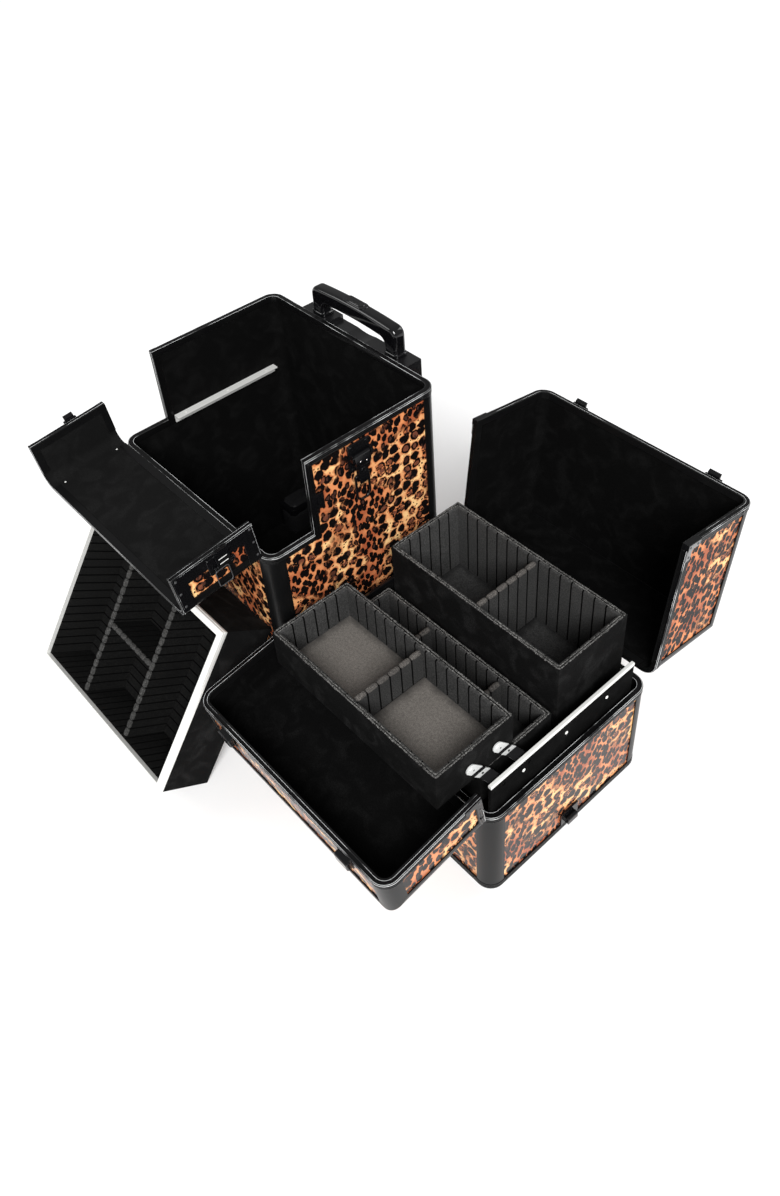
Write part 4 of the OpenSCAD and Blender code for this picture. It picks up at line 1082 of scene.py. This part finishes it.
def toggle(piece, point, width, reach=24, tongue=7, tongue_half=7):
    """A toggle lever. point(along, across, out) gives a place on the wall."""
    profile = ((-2.0, 0.4), (-1.3, 2.2), (1.5, 3.2), (6, 2.4), (15, 2.2), (reach, 2.5),
               (reach, -0.7), (3, -0.8), (-1.3, -0.9))
    half = width / 2
    piece.faces([[point(a, half * s, o) for a, o in profile] for s in (-1, 1)])
    bend, end = reach + tongue * 0.6, reach + tongue
    tip = ((reach - 1, 2.4), (bend, 2.6), (end, 4.2), (end, 3), (bend, -0.4), (reach - 1, -0.7))
    piece.faces([[point(a, tongue_half * s, o) for a, o in tip] for s in (-1, 1)])


def flap_latches():
    """Toggles on the lower flap's wings, with their base plates and slack wire loops."""
    y, z, pin_x = SPLIT_Y - 24, 393, HALF_W + 3.2
    plates, loops = Piece(), Piece()
    for side, name in SIDES:
        lever = Piece()
        toggle(lever, lambda a, c, o: (side * (pin_x + o - 0.6), y + a, z + c), width=19)
        lever.rod((side * pin_x, y, z - 12.4), 1.2, 24.8, "z", 0.2, 14)
        lever.make(name + "_flap_toggle", name + "_flap_latch", LATCH, "black_steel",
                   (name + "_flap_latch",), round_mm=0.5)
        # two thin silver rods on each toggle: painted highlights for light caught on the lever's
        # edges
        highlight_rods = Piece()
        for along, out in ((4, 2.1), (11, 1.7)):
            highlight_rods.rod((side * (pin_x + out), y + along, z - 6), 0.5, 12, "z", 0.2, 12)
        highlight_rods.make(name + "_flap_toggle_ribs", name + "_flap_latch", SILVER, "silver")
        wall_plate(plates, side, (y + 3, z + 3), (26, 34), 3, 1, 0.3)
        for dz in (-13.6, 13.6):
            plates.lathe(((3.2, 0), (3.2, 2.4)), (side * pin_x, y, z + dz - 1.2), "z", 18)
        for dz in (-11, 11):
            wall_rivet(plates, side, y - 7, z + dz, 0.9, 1.6, 0.8)
        wire = arc_corners(((y - 7, z - 5), (y - 33, z - 5), (y - 33, z + 14), (y - 7, z + 14)), 3,
                           4, True)
        loops.tube([(side * (HALF_W + 1.7), p.x, p.y) for p in wire], 0.8, 10, True)
    loops.make("lower_flap_wire_loops", "lower_flap", PLATE_RIVET, "black_steel")
    plates.make("lower_flap_latch_bases", "lower_flap", LATCH, "black_steel",
                ("lower_flap_latch_plates",))


def lid_latches():
    """Toggles on the lid's top and the catches they close on, on the top flap."""
    middle, y, z = 110, SPLIT_Y + 26, HOOD_TOP + 4
    catches = Piece()
    for side, name in SIDES:
        lever = Piece()
        x = side * middle
        toggle(lever, lambda a, c, o: (x + c, y - a - 2, z + o - 0.7), width=25, reach=22,
               tongue=6.6, tongue_half=9)
        lever.rod((x - 16, y, z), 1.2, 32, "x", 0.2, 14)
        lever.make(name + "_lid_toggle", name + "_lid_latch", LATCH, "black_steel",
                   (name + "_lid_latch",), round_mm=0.5)
        catches.round_plate((x, SPLIT_Y - 13), (22, 17), 2.5, HOOD_TOP - 1, HOOD_TOP + 8.5, "xy",
                            1.4)
    catches.make("top_flap_catch_blocks", "top_flap", LATCH, "black_steel")


# ---------- handle ----------
def grip():
    """The U-shaped pull: a fat crowned bar on two legs, rounded all over."""
    y, top, foot, under = 160, 500.5, 459, 475.5
    outer_x, inner_x, depth, soft = 90, 66, 10.2, 6.0

    def outline(t):
        """The U drawn in by t on every side, bent up to its crown."""
        points = []
        for x, z, radius in ((outer_x - t, top - t, 12 - t), (-inner_x - t, under + t, 9 + t)):
            corners = ((x, foot), (x, z), (-x, z), (-x, foot))
            points += dense(arc_corners(corners, radius, 8), count=16)
        made = []
        for p in points:
            level = min(1, max(0, (p.y - foot - 6) / 12))
            crown = (6.0 if p.y < (top + under) / 2 else 4.2) * (1 - (p.x / outer_x) ** 2)
            made.append((p.x, p.y + crown * level))
        return made

    rings = []
    for k in range(7):
        a = math.pi / 2 * k / 6
        rings.append((-(depth - soft) - soft * math.cos(a), soft * (1 - math.sin(a))))
    rings += [(-w, t) for w, t in rings[::-1]]
    piece = Piece().faces([[(u, y + w, v) for u, v in outline(t)] for w, t in rings])
    for x in (-78, 78):
        piece.round_plate((x, y), (28, 22), 6, foot - 2, foot + 3.5, "xy", 1.0)
    piece.make("pull_grip", "handle_top", GLOSS, "black_plastic", ("handle_grip",))
    collar = Piece().round_plate((0, y), (46, 16), 7.9, top + 1.8, top + 4.9)
    collar.make("button_collar", "handle_top", GLOSS, "gloss_plastic")
    button = Piece().round_plate((0, y), (34, 11.6), 5.7, top - 3.4, top + 5.7, "xy", 0.9)
    for x in (-8, -4, 0, 4, 8):
        button.rod((x, y - 3.6, top + 5.6), 0.5, 7.2, "y", 0.2, 8)
    button.make("thumb_button", "release_button", GLOSS, "gloss_plastic", ("release_button",))


# ---------- wheels ----------
def wheels():
    """Rubber tyres with four shallow grooves, on glossy hubs with five bolts through them."""
    x, y, z, radius, rim, half = 151, 119.5, 25, 25, 17.5, 10
    tread = [(rim, -half + 1.5), (rim + 2, -half), (radius - 2.5, -half), (radius - 0.8, -half + 1)]
    for k in range(-2, 3):
        middle = k * 3.4
        tread += [(radius, middle - 1.2), (radius, middle + 1.2), (radius - 0.9, middle + 1.5)]
    tread = tread[:-1] + [(r, -h) for r, h in tread[3::-1]]
    flank = ((4.1, -half), (8, -half), (9, -half + 2), (16, -half + 3), (rim, -half + 1.6))
    for side, name in SIDES:
        at = (side * x, y, z)
        tyre = Piece().lathe(tread, at, "x", 48)
        tyre.make(name + "_tyre", name + "_wheel", RUBBER, "wheel_rubber", (name + "_wheel",))
        hub = Piece().lathe(flank + tuple((r, -h) for r, h in flank[::-1]), at, "x", 36)
        for k in range(5):
            a = 2 * math.pi * k / 5
            start = (at[0] - half + 1.4, y + 12.2 * math.cos(a), z + 12.2 * math.sin(a))
            hub.rod(start, 1.6, 2 * half - 2.8, "x", 0.4, 12)
        hub.make(name + "_hub", name + "_wheel", GLOSS, "gloss_plastic")


# ---------- carry handle on the lid ----------
def carry_handle():
    """The lid's moulded handle, hanging on its two pins: thick and finger-ribbed in the middle."""
    at = Vector(joints["lid_handle_swing"]["pos_m"])
    hang = PLACE["lid"].inverted() @ at
    reach, half = 34, 62
    tilt = math.radians(joints["lid_hinge"]["range_deg"][1] - 90)
    down = Vector((0, math.cos(tilt), math.sin(tilt)))
    shape = dense(arc_corners(((-half, 0), (-half, reach), (half, reach), (half, 0)), 12, 8))
    rings = []
    normal = Vector((0, -down.z, down.y))
    for i, p in enumerate(shape):
        a, b = shape[max(0, i - 1)], shape[min(len(shape) - 1, i + 1)]
        along = (b - a).normalized()
        out = Vector((-along.y, along.x))
        middle = min(1, 2.5 * (1 - min(1, abs(p.x) / half)))
        thick = 4.4 + (2.8 + 0.5 * math.cos(p.x * 0.55)) * middle
        ring = []
        for k in range(16):
            turn = 2 * math.pi * k / 16
            q = p + out * thick * math.cos(turn)
            ring.append(hang + Vector((q.x, 0, 0)) + down * q.y + normal * thick * math.sin(turn))
        rings.append(ring)
    piece = Piece().faces(rings)
    pin = 13
    for x in (-half - pin, half):
        piece.rod(hang + Vector((x, 0, 0)), 3, pin, "x", 0.4, 16)
    piece.make("carry_handle", "lid_handle", PLASTIC, "black_plastic", ("lid_handle",))


# ---------- panels, rails and small things inside ----------
def end_strips():
    """Channels over the top edge of the two panels inside: bare metal, and its black twin."""
    x0, x1, y0, y1, z0, z1, bevel = 158.5, 163.6, -133, 123, 205, 210, 0.7
    outline = ((x0, z0), (x0, z1 - bevel), (x0 + bevel, z1), (x1 - bevel, z1), (x1, z1 - bevel),
               (x1, z0))
    for side, name, metal, slot, replaced in (
        (1, "right", SILVER, "silver", ("end_panel_strips",)),
        (-1, "left", LATCH, "black_steel", ()),
    ):
        strip = Piece().prism([(side * x, z) for x, z in outline], y0, y1, "xz")
        strip.make(name + "_panel_strip", "upper_case", metal, slot, replaced, round_mm=0.2)


def wheel_domes():
    """Moulded covers over the two wheel housings, domed toward the inside."""
    domes = Piece()
    low_z, high_z, crown = 24, 83, 20
    for side in (-1, 1):
        rings = []
        for k in range(10):
            a = math.pi / 2 * max(0, k - 1) / 8
            inset = crown * (1 - math.cos(a))
            z = low_z if k == 0 else high_z - crown + crown * math.sin(a)
            corners = rectangle(128 + inset, HALF_W - 5, 84 + inset, HALF_D - 5)
            outline = arc_corners(corners, 17 - inset * 0.8, 8, True)
            rings.append([(side * p.x, p.y, z) for p in outline])
        domes.faces(rings)
    domes.make("wheel_domes", "lower_case", DOME, "gloss_plastic")


def inside_details():
    """Bright rivet heads on the end panels, the tray rails and the lower flap's inner face."""
    flap_y = -HALF_D + POST_T + 1.8
    for name, body, axis, at, radius, high in (
        ("end_panel_rivets", "upper_case", "x", [(163, y, 187) for y in (-78, -3, 72)], 2.6, 1.2),
        ("rail_rivets", "lower_case", "z",
         [(162.5, y, FLAP_LINE + 3) for y in (-45, 30, 100)], 1.8, 0.7),
        ("flap_studs", "lower_flap", "y",
         [(150, flap_y, z) for z in (FLAP_LINE + 16, LOWER_H - 18)], 1.5, 0.6),
    ):
        heads = Piece()
        for side in (-1, 1):
            for x, y, z in at:
                rivet(heads, (side * x, y, z), axis, side if axis == "x" else 1, radius, high)
        heads.make(name, body, SILVER, "silver")


case_rims()
hood_rims("lid_ridges", "lid", 1)
hood_rims("top_flap_ridges", "top_flap", -1)
flap_rims()
hood_lining("lid_lining", "lid", 1)
hood_lining("top_flap_lining", "top_flap", -1)
flap_lining()
corner_rivets()
corner_plates()
edge_covers()
case_tray("front_tray", "front_tray", y0=-195, width=122, z0=207.5, height=58,
          divider_x=(-6,), floor=FOAM_FLOOR)
case_tray("middle_tray", "upper_case", y0=-127, width=122, z0=147, height=58,
          divider_x=(-65, 61), floor=FOAM_FLOOR_DARK)
case_tray("back_tray", "upper_case", y0=4.5, width=124.5, z0=160, height=116,
          divider_x=(-3,), floor=FOAM_FLOOR_DARK)
lift_tray()
swing_arms()
side_latches()
flap_latches()
lid_latches()
grip()
wheels()
carry_handle()
end_strips()
wheel_domes()
inside_details()


# ---------- floor, light and camera ----------
def lamp(name, data, aim_from, place=(0, 0, 0)):
    """A light at place that shines along the line from aim_from to the case."""
    thing = bpy.data.objects.new(name, data)
    bpy.context.scene.collection.objects.link(thing)
    thing.location = place
    thing.rotation_euler = Vector(aim_from).to_track_quat("Z", "Y").to_euler()


def studio():
    """A plain pale floor under white light, a soft sun and two boxes."""
    bpy.ops.mesh.primitive_plane_add(size=400, location=(0, 0, -0.0005))
    floor = bpy.context.object
    floor.name = "studio_floor"
    g = Graph("pale_floor", Specular_IOR_Level=0.1)
    floor.data.materials.append(g.finish(g.mix(g.noise(900, 2), (0.90,) * 3, (0.93,) * 3), 0.9))
    world = bpy.data.worlds.new("studio")
    bpy.context.scene.world = world
    world.use_nodes = True
    background = world.node_tree.nodes["Background"]
    background.inputs["Color"].default_value = (1, 1, 1, 1)
    background.inputs["Strength"].default_value = 0.32
    sun = bpy.data.lights.new("sun", "SUN")
    sun.energy = 4.2
    sun.angle = math.radians(28)
    lamp("sun", sun, (0.95, -0.7, 1.0))
    for name, at, size, power in (("left_box", (-1.6, -1.3, 1.5), 0.9, 9),
                                  ("back_box", (0.8, 2.0, 1.9), 1.0, 12)):
        box = bpy.data.lights.new(name, "AREA")
        box.size = size
        box.energy = power
        lamp(name, box, at, at)
    bpy.context.scene.view_settings.view_transform = "Standard"


def camera():
    """The photograph's view: angles and distance from a point behind the lower case."""
    azimuth, elevation, roll = (math.radians(a) for a in (50.868, 40.627, -4.311))
    target, distance = LOWER @ Vector((-2.022, 207.433, 150)), 1.672974
    level = Vector((math.sin(azimuth), -math.cos(azimuth), 0))
    back = level * math.cos(elevation) + Vector((0, 0, math.sin(elevation)))
    data = bpy.data.cameras.new("camera")
    data.sensor_width = 36
    data.lens = 31.3
    data.shift_x, data.shift_y = -0.0045, -0.0968
    eye = bpy.data.objects.new("camera", data)
    bpy.context.scene.collection.objects.link(eye)
    eye.location = target + back * distance
    eye.rotation_mode = "QUATERNION"
    right = Vector((0, 0, 1)).cross(back).normalized()
    up = back.cross(right)
    right, up = (right * math.cos(roll) + up * math.sin(roll),
                 up * math.cos(roll) - right * math.sin(roll))
    eye.rotation_quaternion = Matrix((right, up, back)).transposed().to_quaternion()
    bpy.context.scene.camera = eye


studio()
camera()
